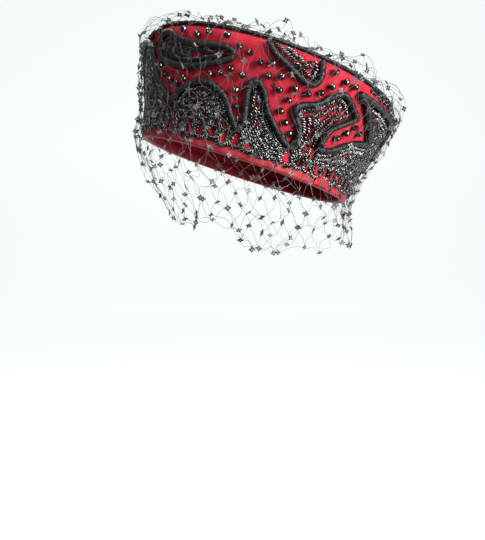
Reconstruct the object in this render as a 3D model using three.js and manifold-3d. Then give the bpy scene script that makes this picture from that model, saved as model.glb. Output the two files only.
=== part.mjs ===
// A pillbox hat of red felt: a flared, slightly oval body with a satin-bound rim, trimmed with
// a couched rouleau scroll, beadwork inside the scroll, jet beads on the bare felt and a net veil.
// Millimetres, +Z up. The origin is the centre of the rim, where a head fills the opening; the
// front faces -Y, and the hat is set at the tilt at which it is worn.
import * as THREE from "three";
import { mergeVertices } from "three/addons/utils/BufferGeometryUtils.js";
import Module from "manifold-3d";

const wasm = await Module();
wasm.setup();

// ---- Driving dimensions, in mm and degrees ----
const RIM_HALF_WIDTH = 90; // outside of the felt at the rim, side to side
const OVAL = 1.067; // front-to-back size over side-to-side size
const WALL_HEIGHT = 68.5; // up the wall to where the corner starts
const FLARE = 16; // how much further out the wall's top is than the rim
const FLARE_POWER = 1.35; // above 1, the wall curves in slightly at its waist
const CORNER_RADIUS = 9;
const TIP_DOME = 4; // rise of the hat's flat top at its middle
const FELT = 2.5; // thickness of the felt
const GAP = 0.4; // air between any two pieces
const LEAN_RIGHT = 17.8; // worn tilt towards +X
const LEAN_FORWARD = 5.2; // worn tilt towards -Y
const SEGMENTS = 48; // facets round the felt and the binding

const BINDING = { thickness: 0.9, outside: 7.5, inside: 9 };
const TAB = { from: 37, to: 46, low: 0.4, high: 8, lift: 1.7, thickness: 0.8 };
const ROULEAU = { radius: 2.3, step: 7.5 };
const EDGE_CORD = { radius: 1.6, step: 12, run: 79 };
const SEAM = 0.5; // how far each length of cord stops short of where the next begins
const BEADWORK = { low: 0.65, high: 3.1, margin: 0.9, facet: 17, cornerFacet: 5.5 };
const JET = { radius: 2.5, clearance: 5.3, apart: 7.9, link: 19, thread: 0.5 };
const JET_FIELD = { low: 20, high: 74.4, grid: 2 };
const TIP_JETS = [{ run: 136, count: 12 }, { run: 160, count: 6 }];
const MEDALLION = { run: 108, lobes: 8, depth: 8, steps: 64, margin: 4 };
const SCALLOP = { run: 10.2, depth: 1.7, pitch: 6 };
const VEIL = { inner: 7.2, outer: 11.2, hem: 2.6, columns: 32, wave: 1.2, ripple: 0.5 };

const rad = THREE.MathUtils.degToRad;

// ---- The trim's drawing. Each row is a bearing round the hat (0 front, 90 at +X) and a run,
// ---- the mm up the felt from the rim, over the corner and on towards the middle of the tip.
const rows = (...pairs) => pairs.map(([bearing, run]) => ({ bearing, run }));

// The rouleau scroll of one half of the hat. A motif is one or more strokes, and every stroke
// starts at the sharp fold where the one before it ended.
const SCROLL = {
  arch: [
    rows(
      [-39, 26.5], [-34, 34.5], [-28.5, 40], [-23, 42.5], [-18, 41], [-14, 37.5],
      [-11, 32], [-8.5, 25], [-4.4, 16.8],
    ),
  ],
  peak: [
    rows(
      [-4.4, 16.8], [-3.1, 24], [-3.7, 34], [-4.6, 43], [-4.2, 48.8], [-2.2, 51],
      [-0.2, 49], [2, 45], [4, 38], [6.5, 32.5], [10.5, 26], [14.5, 21], [18.8, 17.2],
    ),
  ],
  shield: [
    rows(
      [18.8, 17.2], [20.4, 22.5], [19.6, 31.5], [16.6, 37.5], [15, 42.5], [17.2, 46.3],
      [22.5, 50.5], [26.5, 57.5], [29.8, 62.2], [33, 62.3], [37, 59], [43, 53.5],
    ),
    rows([43, 53.5], [37.8, 46.5], [33.6, 40], [31.9, 33], [31.6, 23.8]),
  ],
  side: [
    rows([31.6, 23.8], [38, 26.5], [43.5, 33], [50, 39.2], [55.5, 42], [60.5, 43.4]),
    rows([60.5, 43.4], [53.5, 52], [47.5, 59.5], [43.5, 64.5], [37.2, 68.2]),
    rows(
      [37.2, 68.2], [47, 68.4], [60, 68.4], [71, 67.4], [79, 63], [83.6, 55],
      [86.2, 45], [90.6, 30.5],
    ),
  ],
  flank: [
    rows(
      [90.6, 30.5], [93.8, 41], [96.4, 52], [100.4, 62], [107, 67.6], [114.5, 68.2],
      [120.6, 63.6], [124.2, 54], [127, 45], [132, 36], [141, 26.5],
    ),
  ],
};
// Two closed shapes high on the wall: a leaf, and a point that hangs from the top edge.
const LEAF = rows(
  [-50.2, 64.4], [-47.4, 69.4], [-43, 70.2], [-38, 67], [-31, 64.8], [-24, 65.2],
  [-17, 66], [-13.4, 64], [-13.6, 60], [-17.5, 56.5], [-22.5, 53.5], [-28, 51.2],
  [-34.5, 50], [-41, 51], [-46.4, 53.2], [-49.4, 57], [-50.4, 62.4],
);
const VEE = rows(
  [18, 74.3], [19.4, 67], [19, 62.2], [17, 60], [13, 61], [9, 64], [4.5, 67.5],
  [0.5, 70.6], [-1.9, 74.3],
);

// How far the veil hangs below the rim.
const FALL = [
  { bearing: -180, length: 3 }, { bearing: -96, length: 4 }, { bearing: -82, length: 34 },
  { bearing: -66, length: 60 }, { bearing: -45, length: 66 }, { bearing: -26, length: 58 },
  { bearing: -10, length: 52 }, { bearing: 6, length: 63 }, { bearing: 16, length: 60 },
  { bearing: 32, length: 50 }, { bearing: 50, length: 45 }, { bearing: 86, length: 38 },
  { bearing: 100, length: 18 }, { bearing: 114, length: 4 }, { bearing: 180, length: 3 },
];

// ---- The felt's outer surface ----
const wallSlope = Math.atan((FLARE * FLARE_POWER) / WALL_HEIGHT);
const cornerCentre = {
  r: RIM_HALF_WIDTH + FLARE - CORNER_RADIUS * Math.cos(wallSlope),
  z: WALL_HEIGHT + CORNER_RADIUS * Math.sin(wallSlope),
};
const tipSlope = Math.atan((2 * TIP_DOME) / cornerCentre.r);
const tipEdge = {
  r: cornerCentre.r + CORNER_RADIUS * Math.sin(tipSlope),
  z: cornerCentre.z + CORNER_RADIUS * Math.cos(tipSlope),
};
const RUN_CORNER = WALL_HEIGHT + CORNER_RADIUS * (Math.PI / 2 - tipSlope + wallSlope);
const RUN_CENTRE = RUN_CORNER + tipEdge.r;

// The hat's section at +X: the radius and height at a run.
function section(run) {
  if (run <= WALL_HEIGHT) {
    const share = Math.max(run, 0) / WALL_HEIGHT;
    return { r: RIM_HALF_WIDTH + FLARE * share ** FLARE_POWER, z: run };
  }
  if (run <= RUN_CORNER) {
    const angle = (run - WALL_HEIGHT) / CORNER_RADIUS - wallSlope;
    return {
      r: cornerCentre.r + CORNER_RADIUS * Math.cos(angle),
      z: cornerCentre.z + CORNER_RADIUS * Math.sin(angle),
    };
  }
  const r = Math.max(RUN_CENTRE - run, 0);
  return { r, z: tipEdge.z + TIP_DOME * (1 - (r / tipEdge.r) ** 2) };
}

// The section moved outwards by lift, in its own plane.
function shifted(run, lift) {
  const a = section(run - 0.5);
  const b = section(run + 0.5);
  const length = Math.hypot(b.r - a.r, b.z - a.z);
  const { r, z } = section(run);
  return { r: r + (lift * (b.z - a.z)) / length, z: z - (lift * (b.r - a.r)) / length };
}

function onFelt(bearing, run) {
  const { r, z } = section(run);
  const turn = rad(bearing);
  return new THREE.Vector3(r * Math.sin(turn), -OVAL * r * Math.cos(turn), z);
}

// A point that stands off the felt by lift, along the felt's own normal.
function above(bearing, run, lift) {
  const here = onFelt(bearing, run);
  const along = onFelt(bearing + 0.5, run).sub(onFelt(bearing - 0.5, run));
  const up = onFelt(bearing, run + 0.5).sub(onFelt(bearing, run - 0.5));
  return here.addScaledVector(along.cross(up).normalize(), lift);
}

// ---- The drawing on a flat sheet: x is mm round the hat, y is run ----
const MM_PER_DEGREE = rad(RIM_HALF_WIDTH + FLARE);
const HALF = 180 * MM_PER_DEGREE;
const flat = ({ bearing, run }) => new THREE.Vector2(bearing * MM_PER_DEGREE, run);
const raised = (p, lift) => above(p.x / MM_PER_DEGREE, p.y, lift);
const smooth = (table) => new THREE.SplineCurve(table.map(flat)).getPoints(table.length * 6);
const moved = (line, x) => line.map((p) => new THREE.Vector2(p.x + x, p.y));

// The part of a line between two shares of its length.
function stretch(line, from, to) {
  const reach = [0];
  for (let i = 1; i < line.length; i++)
    reach.push(reach[i - 1] + line[i].distanceTo(line[i - 1]));
  const total = reach.at(-1);
  const at = (share) => {
    const i = Math.max(1, reach.findIndex((r) => r >= share * total - 1e-9));
    const t = (share * total - reach[i - 1]) / (reach[i] - reach[i - 1]);
    return line[i - 1].clone().lerp(line[i], t);
  };
  const within = line.filter((_, i) => reach[i] > from * total && reach[i] < to * total);
  return [at(from), ...within, at(to)];
}

// The line with a seam's worth taken off the ends that are named.
function trimmed(line, { start = false, end = false }) {
  const total = new THREE.CatmullRomCurve3(line.map((p) => raised(p, 0))).getLength();
  return stretch(line, start ? SEAM / total : 0, end ? 1 - SEAM / total : 1);
}

const motifs = Object.entries(SCROLL).map(([name, strokes]) => ({
  name,
  strokes: strokes.map(smooth),
}));
const leafLine = smooth(LEAF);
const veeLine = smooth(VEE);
const drawn = [...motifs.flatMap(({ strokes }) => strokes), leafLine, veeLine];
const everyLine = drawn.flatMap((line) => [-HALF, 0, HALF].map((x) => moved(line, x)));

// ---- Solids ----
function asManifold(geometry) {
  const bare = geometry.clone();
  bare.deleteAttribute("normal");
  bare.deleteAttribute("uv");
  const merged = mergeVertices(bare, 1e-3);
  return new wasm.Manifold(new wasm.Mesh({
    numProp: 3,
    vertProperties: merged.attributes.position.array,
    triVerts: new Uint32Array(merged.index.array),
  }));
}

function asGeometry(solid) {
  const { vertProperties, triVerts } = solid.getMesh();
  const geometry = new THREE.BufferGeometry();
  geometry.setAttribute("position", new THREE.BufferAttribute(vertProperties, 3));
  geometry.setIndex(new THREE.BufferAttribute(triVerts, 1));
  geometry.computeVertexNormals();
  return geometry;
}

// A closed section turned about the hat's axis and stretched to the oval.
function turnedRing(profile) {
  const points = profile.map(({ r, z }) => new THREE.Vector2(r, z));
  return new THREE.LatheGeometry(points, SEGMENTS).rotateX(Math.PI / 2).scale(1, OVAL, 1);
}

function feltBody() {
  const wall = [17, 34, 51, WALL_HEIGHT];
  const corner = [1, 2, 3, 4].map((i) => WALL_HEIGHT + (i / 4) * (RUN_CORNER - WALL_HEIGHT));
  const tip = [0.4].map((share) => RUN_CORNER + share * tipEdge.r);
  const runs = [...wall, ...corner, ...tip];
  const top = section(RUN_CENTRE).z;
  return turnedRing([
    { r: 0, z: top },
    ...runs.map((run) => shifted(run, 0)).reverse(),
    { r: RIM_HALF_WIDTH, z: 0 },
    { r: RIM_HALF_WIDTH - FELT, z: 0 },
    ...runs.map((run) => shifted(run, -FELT)),
    { r: 0, z: top - FELT },
  ].reverse());
}

// A satin ribbon folded over the felt's raw edge.
function rimBinding() {
  const near = GAP;
  const far = GAP + BINDING.thickness;
  return turnedRing([
    shifted(BINDING.outside, near),
    { r: RIM_HALF_WIDTH + near, z: -near },
    { r: RIM_HALF_WIDTH - FELT - near, z: -near },
    shifted(BINDING.inside, -FELT - near),
    shifted(BINDING.inside, -FELT - far),
    { r: RIM_HALF_WIDTH - FELT - far, z: -far },
    { r: RIM_HALF_WIDTH + far, z: -far },
    shifted(BINDING.outside, far),
    shifted(BINDING.outside, near),
  ]);
}

// A round cord that follows a flat line over the felt.
function cord(line, radius, lift, step, sides = 6) {
  const path = new THREE.CatmullRomCurve3(line.map((p) => raised(p, lift)));
  const shape = new THREE.Shape().absarc(0, 0, radius, 0, 2 * Math.PI);
  return new THREE.ExtrudeGeometry(shape, {
    steps: Math.max(3, Math.round(path.getLength() / step)),
    curveSegments: sides / 2,
    extrudePath: path,
  });
}

const couched = (line) => cord(line, ROULEAU.radius, ROULEAU.radius + GAP, ROULEAU.step);

// Several strokes of rouleau as one length, rounded where one stroke folds into the next.
function folded(strokes) {
  let solid = asManifold(couched(strokes[0]));
  for (const stroke of strokes.slice(1)) {
    const { x, y, z } = raised(stroke[0], ROULEAU.radius + GAP);
    const fold = new THREE.IcosahedronGeometry(ROULEAU.radius).translate(x, y, z);
    solid = solid.add(asManifold(fold)).add(asManifold(couched(stroke)));
  }
  return asGeometry(solid);
}

// Whether an edge of a flat plate has to be split so that the plate can bend with the felt.
function tooLong(a, b) {
  const [low, high] = [Math.min(a.y, b.y), Math.max(a.y, b.y)];
  const onCorner = high > WALL_HEIGHT && low < RUN_CORNER;
  if (onCorner && high - low > BEADWORK.cornerFacet) return true;
  const facet = low > RUN_CORNER ? BEADWORK.facet * 2 : BEADWORK.facet;
  return raised(a, 0).distanceTo(raised(b, 0)) > facet;
}

// Halves every edge that is too long, in both triangles that share it.
function refined(geometry) {
  const { position } = geometry.attributes;
  const points = [];
  for (let i = 0; i < position.count; i++)
    points.push(new THREE.Vector3().fromBufferAttribute(position, i));
  let triangles = [];
  for (let i = 0; i < geometry.index.count; i += 3)
    triangles.push([0, 1, 2].map((k) => geometry.index.getX(i + k)));
  let middles = new Map();
  const middle = (a, b) => {
    if (!tooLong(points[a], points[b])) return -1;
    const key = a < b ? `${a},${b}` : `${b},${a}`;
    if (!middles.has(key))
      middles.set(key, points.push(points[a].clone().lerp(points[b], 0.5)) - 1);
    return middles.get(key);
  };
  do {
    middles = new Map();
    const next = [];
    for (const [a, b, c] of triangles) {
      const [ab, bc, ca] = [middle(a, b), middle(b, c), middle(c, a)];
      if (ab >= 0 && bc >= 0 && ca >= 0)
        next.push([a, ab, ca], [ab, b, bc], [ca, bc, c], [ab, bc, ca]);
      else if (ab >= 0 && bc >= 0) next.push([ab, b, bc], [a, ab, bc], [a, bc, c]);
      else if (bc >= 0 && ca >= 0) next.push([bc, c, ca], [b, bc, ca], [b, ca, a]);
      else if (ca >= 0 && ab >= 0) next.push([ca, a, ab], [c, ca, ab], [c, ab, b]);
      else if (ab >= 0) next.push([a, ab, c], [ab, b, c]);
      else if (bc >= 0) next.push([b, bc, a], [bc, c, a]);
      else if (ca >= 0) next.push([c, ca, b], [ca, a, b]);
      else next.push([a, b, c]);
    }
    triangles = next;
  } while (middles.size > 0);
  const out = new THREE.BufferGeometry().setFromPoints(points);
  out.setIndex(triangles.flat());
  return out;
}

// A flat outline made into a plate that lies over the felt.
function plate(outline, low, high) {
  const anticlockwise = THREE.ShapeUtils.isClockWise(outline) ? [...outline].reverse() : outline;
  const slab = new THREE.ExtrudeGeometry(new THREE.Shape(anticlockwise), {
    depth: high - low,
    bevelEnabled: false,
  });
  slab.deleteAttribute("normal");
  slab.deleteAttribute("uv");
  const bent = refined(mergeVertices(slab, 1e-3));
  const at = bent.attributes.position;
  for (let i = 0; i < at.count; i++) {
    const p = raised(new THREE.Vector2(at.getX(i), at.getY(i)), low + at.getZ(i));
    at.setXYZ(i, p.x, p.y, p.z);
  }
  return bent;
}

const beadwork = (outline) => plate(outline, BEADWORK.low, BEADWORK.high);

// The scalloped lower edge of the beadwork, from one bearing to another.
function scallops(from, to) {
  const count = Math.max(2, Math.round(Math.abs(from - to) / (SCALLOP.pitch / 3)));
  return Array.from({ length: count + 1 }, (_, i) => {
    const bearing = from + ((to - from) * i) / count;
    const wave = Math.abs(Math.sin((Math.PI * bearing) / SCALLOP.pitch));
    return flat({ bearing, run: SCALLOP.run - SCALLOP.depth * wave });
  });
}

// The line that keeps a constant distance from the strokes, on their right-hand side. Where it
// would come nearer than that to any cord, it is left out.
function besides(strokes) {
  const distance = ROULEAU.radius + BEADWORK.margin;
  const heading = (a, b) => Math.atan2(b.y - a.y, b.x - a.x);
  const beside = (p, angle) => new THREE.Vector2(
    p.x + distance * Math.sin(angle), p.y - distance * Math.cos(angle));
  const points = [];
  let last = null;
  const corners = [];
  for (const stroke of strokes) {
    const first = heading(stroke[0], stroke[1]);
    if (last !== null) {
      const turn = THREE.MathUtils.euclideanModulo(first - last, 2 * Math.PI);
      const fan = turn < Math.PI ? [0.2, 0.4, 0.6, 0.8] : [];
      for (const share of fan) points.push(beside(stroke[0], last + share * turn));
      if (turn > Math.PI) corners.push(stroke[0]);
    }
    stroke.forEach((p, i) => {
      const before = stroke[Math.max(i - 1, 0)];
      const after = stroke[Math.min(i + 1, stroke.length - 1)];
      points.push(beside(p, heading(before, after)));
    });
    last = heading(stroke.at(-2), stroke.at(-1));
  }
  const cords = everyLine.flat();
  const clear = (p) => cords.every((q) => q.distanceTo(p) > distance - 0.15);
  return points.filter((p) => clear(p) && corners.every((q) => q.distanceTo(p) > 2 * distance));
}

const thinned = (line) => line.filter((_, i) => i % 3 === 0 || i === line.length - 1);

// The outline of the beadwork that fills a motif down to the scalloped edge.
function filled(strokes) {
  const inset = 0.2;
  const start = strokes[0][0];
  const end = strokes.at(-1).at(-1);
  const [from, to] = [start.x / MM_PER_DEGREE + inset, end.x / MM_PER_DEGREE - inset];
  const under = (bearing, y) => flat({ bearing, run: y - ROULEAU.radius - 1 });
  return [
    under(from, start.y), ...thinned(besides(strokes)), under(to, end.y), ...scallops(to, from),
  ];
}

// ---- Jet beads on the bare felt ----
const isInside = (p, outline) => outline.filter((a, i) => {
  const b = outline[(i + 1) % outline.length];
  return a.y > p.y !== b.y > p.y && p.x < a.x + ((b.x - a.x) * (p.y - a.y)) / (b.y - a.y);
}).length % 2 === 1;

// A repeatable number from -1 to 1.
const scatter = (n) => {
  const wave = Math.sin(n * 12.9898 + 4.1) * 437.585;
  return 2 * (wave - Math.floor(wave)) - 1;
};

// The places in one half of the hat that are clear of every cord, of the beadwork and of each
// other. The grid's points are tried in a scrambled order.
function bareSpots() {
  const worked = [...motifs.map(({ strokes }) => filled(strokes)), leafLine, veeLine];
  const covered = worked.flatMap((line) => [-HALF, 0, HALF].map((x) => moved(line, x)));
  const cords = everyLine.flat();
  const across = Math.round(HALF / JET_FIELD.grid);
  const up = Math.round((JET_FIELD.high - JET_FIELD.low) / JET_FIELD.grid);
  const order = Array.from({ length: across * up }, (_, n) => n);
  order.sort((a, b) => scatter(a + 0.25) - scatter(b + 0.25));
  const spots = [];
  for (const n of order) {
    const x = ((n % across) + 0.3 * scatter(n)) / across - 1 / 3;
    const y = JET_FIELD.low + JET_FIELD.grid * Math.floor(n / across);
    const p = new THREE.Vector2(x * HALF, y);
    const others = spots.flatMap((q) => [-HALF, 0, HALF].map((turn) => moved([q], turn)[0]));
    if (others.some((q) => q.distanceTo(p) < JET.apart)) continue;
    if (cords.some((q) => q.distanceTo(p) < JET.clearance)) continue;
    if (!covered.some((outline) => isInside(p, outline))) spots.push(p);
  }
  return spots;
}

// The spots in groups, each joined up by threads that cross no cord.
function strung(spots) {
  const free = (a, b) => [0.2, 0.4, 0.6, 0.8].every((t) => {
    const p = a.clone().lerp(b, t);
    const reach = ROULEAU.radius + JET.thread + 1;
    return everyLine.every((line) => line.every((q) => q.distanceTo(p) > reach));
  });
  const pairs = [];
  spots.forEach((a, i) => spots.slice(0, i).forEach((b, j) => {
    if (a.distanceTo(b) < JET.link && free(a, b)) pairs.push([i, j]);
  }));
  const length = ([i, j]) => spots[i].distanceTo(spots[j]);
  const group = spots.map((_, i) => i);
  const links = [];
  for (const [i, j] of pairs.sort((a, b) => length(a) - length(b))) {
    const [from, to] = [group[i], group[j]];
    if (from === to) continue;
    links.push([i, j]);
    group.forEach((g, k) => {
      if (g === from) group[k] = to;
    });
  }
  const strings = [...new Set(group)].map((g) => ({
    beads: spots.filter((_, i) => group[i] === g),
    links: links.filter(([i]) => group[i] === g).map(([i, j]) => [spots[i], spots[j]]),
  }));
  return strings.filter(({ links }) => links.length > 0);
}

function jets({ beads, links }) {
  const centre = (p) => raised(p, JET.radius + GAP);
  const pieces = beads.map((p) => {
    const { x, y, z } = centre(p);
    return asManifold(new THREE.IcosahedronGeometry(JET.radius).translate(x, y, z));
  });
  for (const [a, b] of links) {
    const [from, to] = [centre(a), centre(b)];
    const way = to.clone().sub(from);
    const thread = new THREE.CylinderGeometry(JET.thread, JET.thread, way.length(), 3);
    const up = new THREE.Vector3(0, 1, 0);
    thread.applyQuaternion(new THREE.Quaternion().setFromUnitVectors(up, way.normalize()));
    const { x, y, z } = from.add(to).multiplyScalar(0.5);
    pieces.push(asManifold(thread.translate(x, y, z)));
  }
  return asGeometry(pieces.reduce((all, piece) => all.add(piece)));
}

function jetRing({ run, count }) {
  const turn = (i) => flat({ bearing: (360 * i) / count, run });
  const beads = Array.from({ length: count }, (_, i) => turn(i));
  return jets({ beads, links: beads.map((p, i) => [p, beads[(i + 1) % count]]) });
}

// ---- The tip: a lobed ring of rouleau with beadwork between it and the edge ----
function medallionLine(from, to) {
  return Array.from({ length: MEDALLION.steps + 1 }, (_, i) => {
    const bearing = from + ((to - from) * i) / MEDALLION.steps;
    const run = MEDALLION.run + MEDALLION.depth * Math.cos(rad(bearing) * MEDALLION.lobes);
    return flat({ bearing, run });
  });
}

function tipOutline(from, to) {
  const inset = 0.2;
  const edge = RUN_CORNER + 0.5;
  const ring = thinned(medallionLine(from + inset, to - inset));
  return [
    flat({ bearing: from + inset, run: edge }),
    ...ring.map((p) => new THREE.Vector2(p.x, p.y - MEDALLION.margin)),
    flat({ bearing: to - inset, run: edge }),
  ];
}

const edgeLine = (from, to) =>
  Array.from({ length: 33 }, (_, i) =>
    flat({ bearing: from + ((to - from) * i) / 32, run: EDGE_CORD.run }));

// ---- The net veil: one shell of its outer form, over the crown and down in front ----
const worn = new THREE.Euler(rad(LEAN_FORWARD), rad(LEAN_RIGHT), 0, "YXZ");
const unworn = new THREE.Quaternion().setFromEuler(worn).invert();
const DOWN = new THREE.Vector3(0, 0, -1).applyQuaternion(unworn);
const LEFT = new THREE.Vector3(-1, 0, 0).applyQuaternion(unworn);

function fallAt(bearing) {
  const next = Math.max(1, FALL.findIndex((row) => row.bearing > bearing));
  const [a, b] = [FALL[next - 1], FALL[next]];
  const share = (bearing - a.bearing) / (b.bearing - a.bearing);
  return THREE.MathUtils.lerp(a.length, b.length, THREE.MathUtils.smoothstep(share, 0, 1));
}

// The veil's rows: over the tip, round the corner, down the wall, then below the rim.
const OVER_CROWN = [150, 116, 89, 83, 77, 71, 50, 26, 1];
const BELOW_RIM = [0.33, 0.67, 1];

function veilWave(bearing) {
  return VEIL.wave * Math.sin(9 * rad(bearing)) + VEIL.ripple * Math.sin(14 * rad(bearing) + 1);
}

// How far one side of the veil stands off the felt. The inner side closes on the outer one
// below the rim, by share of the way down.
function veilLift(side, wave, share) {
  const outer = VEIL.outer + wave;
  return side === 0 ? outer : THREE.MathUtils.lerp(VEIL.inner, outer - VEIL.hem, share);
}

// A point below the rim, share of the way down to the veil's lower edge.
function hanging(bearing, share, side) {
  const fall = fallAt(bearing) * share;
  const top = above(bearing, 1, veilLift(side, veilWave(bearing), share));
  const inward = new THREE.Vector3(-top.x, -top.y, 0).normalize();
  const drift = 0.1 + 0.5 * Math.max(0, inward.dot(LEFT) * -1);
  return top
    .addScaledVector(DOWN, fall)
    .addScaledVector(inward, drift * share * fall - veilWave(bearing) * share);
}

function veil() {
  const points = [];
  const rim = OVER_CROWN.length + BELOW_RIM.length;
  for (const side of [0, 1]) {
    for (const run of OVER_CROWN)
      for (let i = 0; i < VEIL.columns; i++) {
        const bearing = -180 + (360 * i) / VEIL.columns;
        const calm = Math.min(1, (RUN_CENTRE - run) / 90);
        points.push(above(bearing, run, veilLift(side, calm * veilWave(bearing), 0)));
      }
    for (const share of BELOW_RIM)
      for (let i = 0; i < VEIL.columns; i++)
        points.push(hanging(-180 + (360 * i) / VEIL.columns, share, side));
  }
  const layer = rim * VEIL.columns;
  const crown = section(RUN_CENTRE).z;
  points.push(new THREE.Vector3(0, 0, crown + VEIL.outer));
  points.push(new THREE.Vector3(0, 0, crown + VEIL.inner));
  const index = [];
  const at = (side, row, i) => side * layer + row * VEIL.columns + (i % VEIL.columns);
  const quad = (a, b, c, d) => index.push(a, b, c, a, c, d);
  for (let i = 0; i < VEIL.columns; i++) {
    index.push(2 * layer, at(0, 0, i), at(0, 0, i + 1));
    index.push(2 * layer + 1, at(1, 0, i + 1), at(1, 0, i));
    for (let row = 0; row < rim - 1; row++) {
      quad(at(0, row, i), at(0, row + 1, i), at(0, row + 1, i + 1), at(0, row, i + 1));
      quad(at(1, row, i), at(1, row, i + 1), at(1, row + 1, i + 1), at(1, row + 1, i));
    }
    quad(at(0, rim - 1, i), at(1, rim - 1, i), at(1, rim - 1, i + 1), at(0, rim - 1, i + 1));
  }
  const geometry = new THREE.BufferGeometry().setFromPoints(points);
  geometry.setIndex(index);
  geometry.computeVertexNormals();
  return geometry;
}

// ---- Materials ----
const felt = new THREE.MeshStandardMaterial({ color: 0xb5121f, roughness: 0.9 });
const satin = new THREE.MeshStandardMaterial({ color: 0xa81a28, roughness: 0.45 });
const rouleau = new THREE.MeshStandardMaterial({ color: 0x17171c, roughness: 0.7 });
const beads = new THREE.MeshStandardMaterial({ color: 0x0b0c0e, roughness: 0.2 });
const jet = new THREE.MeshStandardMaterial({ color: 0x08090b, roughness: 0.1 });
const net = new THREE.MeshStandardMaterial({ color: 0x2a2a30, roughness: 0.6 });

// ---- Assembly ----
const hat = new THREE.Group();
hat.name = "pillbox_hat";
hat.rotation.copy(worn);

function add(name, geometry, material, turn = 0) {
  const mesh = new THREE.Mesh(geometry, material);
  mesh.name = name;
  mesh.rotation.z = rad(turn);
  hat.add(mesh);
}

add("felt_body", feltBody(), felt);
add("rim_binding", rimBinding(), satin);
const tabShape = rows(
  [TAB.from, TAB.low], [TAB.to, TAB.low], [TAB.to, TAB.high], [TAB.from, TAB.high],
);
add("binding_tab", plate(tabShape.map(flat), TAB.lift, TAB.lift + TAB.thickness), satin);

// A length of rouleau runs from the middle of one motif's first stroke to the next motif's.
const lengths = motifs.map(({ name, strokes }, i) => {
  const last = i === motifs.length - 1;
  const next = last ? moved(motifs[0].strokes[0], HALF) : motifs[i + 1].strokes[0];
  const first = trimmed(stretch(strokes[0], 0.5, 1), { start: true });
  const final = trimmed(stretch(next, 0, 0.5), { end: true });
  return { name, solid: folded([first, ...strokes.slice(1), final]) };
});
const fills = motifs.map(({ name, strokes }) => {
  const outline = filled(strokes);
  return { name, solid: beadwork(outline) };
});
const groups = strung(bareSpots());

for (const [side, turn] of [["front", 0], ["back", 180]]) {
  for (const { name, solid } of lengths) add(`rouleau_${name}_${side}`, solid, rouleau, turn);
  for (const { name, solid } of fills) add(`beadwork_${name}_${side}`, solid, beads, turn);
  add(`rouleau_leaf_${side}`, couched(leafLine), rouleau, turn);
  add(`beadwork_leaf_${side}`, beadwork(thinned(besides([leafLine]))), beads, turn);
  add(`rouleau_vee_${side}`, couched(veeLine), rouleau, turn);
  add(`beadwork_vee_${side}`, beadwork(thinned(besides([veeLine]))), beads, turn);
  const edge = trimmed(edgeLine(-90, 90), { start: true, end: true });
  add(`edge_cord_${side}`, cord(edge, EDGE_CORD.radius, EDGE_CORD.radius + GAP, EDGE_CORD.step),
    rouleau, turn);
  const ring = trimmed(medallionLine(-90, 90), { start: true, end: true });
  add(`tip_rouleau_${side}`, couched(ring), rouleau, turn);
  add(`tip_beadwork_${side}`, beadwork(tipOutline(-90, 90)), beads, turn);
  groups.forEach((group, i) => add(`jets_${side}_${i + 1}`, jets(group), jet, turn));
}
TIP_JETS.forEach((ring, i) => add(`tip_jets_${i + 1}`, jetRing(ring), jet));
add("veil", veil(), net);

export default hat;
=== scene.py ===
"""Looks of a red felt pillbox hat: felt, satin, couched cord, bead-rope, jet beads and net."""

import logging
import math
from dataclasses import dataclass, field
from enum import Enum
from functools import cached_property
from typing import Callable, Iterable, Sequence

import bpy
import numpy as np
from mathutils import Matrix, Vector


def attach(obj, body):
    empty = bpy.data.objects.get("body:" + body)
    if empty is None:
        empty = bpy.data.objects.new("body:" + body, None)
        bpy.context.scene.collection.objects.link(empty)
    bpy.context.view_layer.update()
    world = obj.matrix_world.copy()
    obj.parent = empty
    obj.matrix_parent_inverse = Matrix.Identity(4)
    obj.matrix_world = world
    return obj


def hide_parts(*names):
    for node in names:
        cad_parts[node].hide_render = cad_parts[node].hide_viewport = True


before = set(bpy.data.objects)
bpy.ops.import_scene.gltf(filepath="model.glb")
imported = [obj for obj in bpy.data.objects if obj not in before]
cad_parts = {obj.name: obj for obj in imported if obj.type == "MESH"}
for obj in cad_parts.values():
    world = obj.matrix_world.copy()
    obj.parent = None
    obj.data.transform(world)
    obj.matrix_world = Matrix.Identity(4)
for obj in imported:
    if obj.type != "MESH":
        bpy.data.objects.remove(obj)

Array = np.ndarray
Socket = bpy.types.NodeSocket
Pair = tuple[float, float]
Triple = tuple[float, float, float]
Table = tuple[Pair, ...]
MM = 0.001
log = logging.getLogger("pillbox_hat")
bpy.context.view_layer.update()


# ---------------------------------------------------------------- the felt's form


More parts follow.
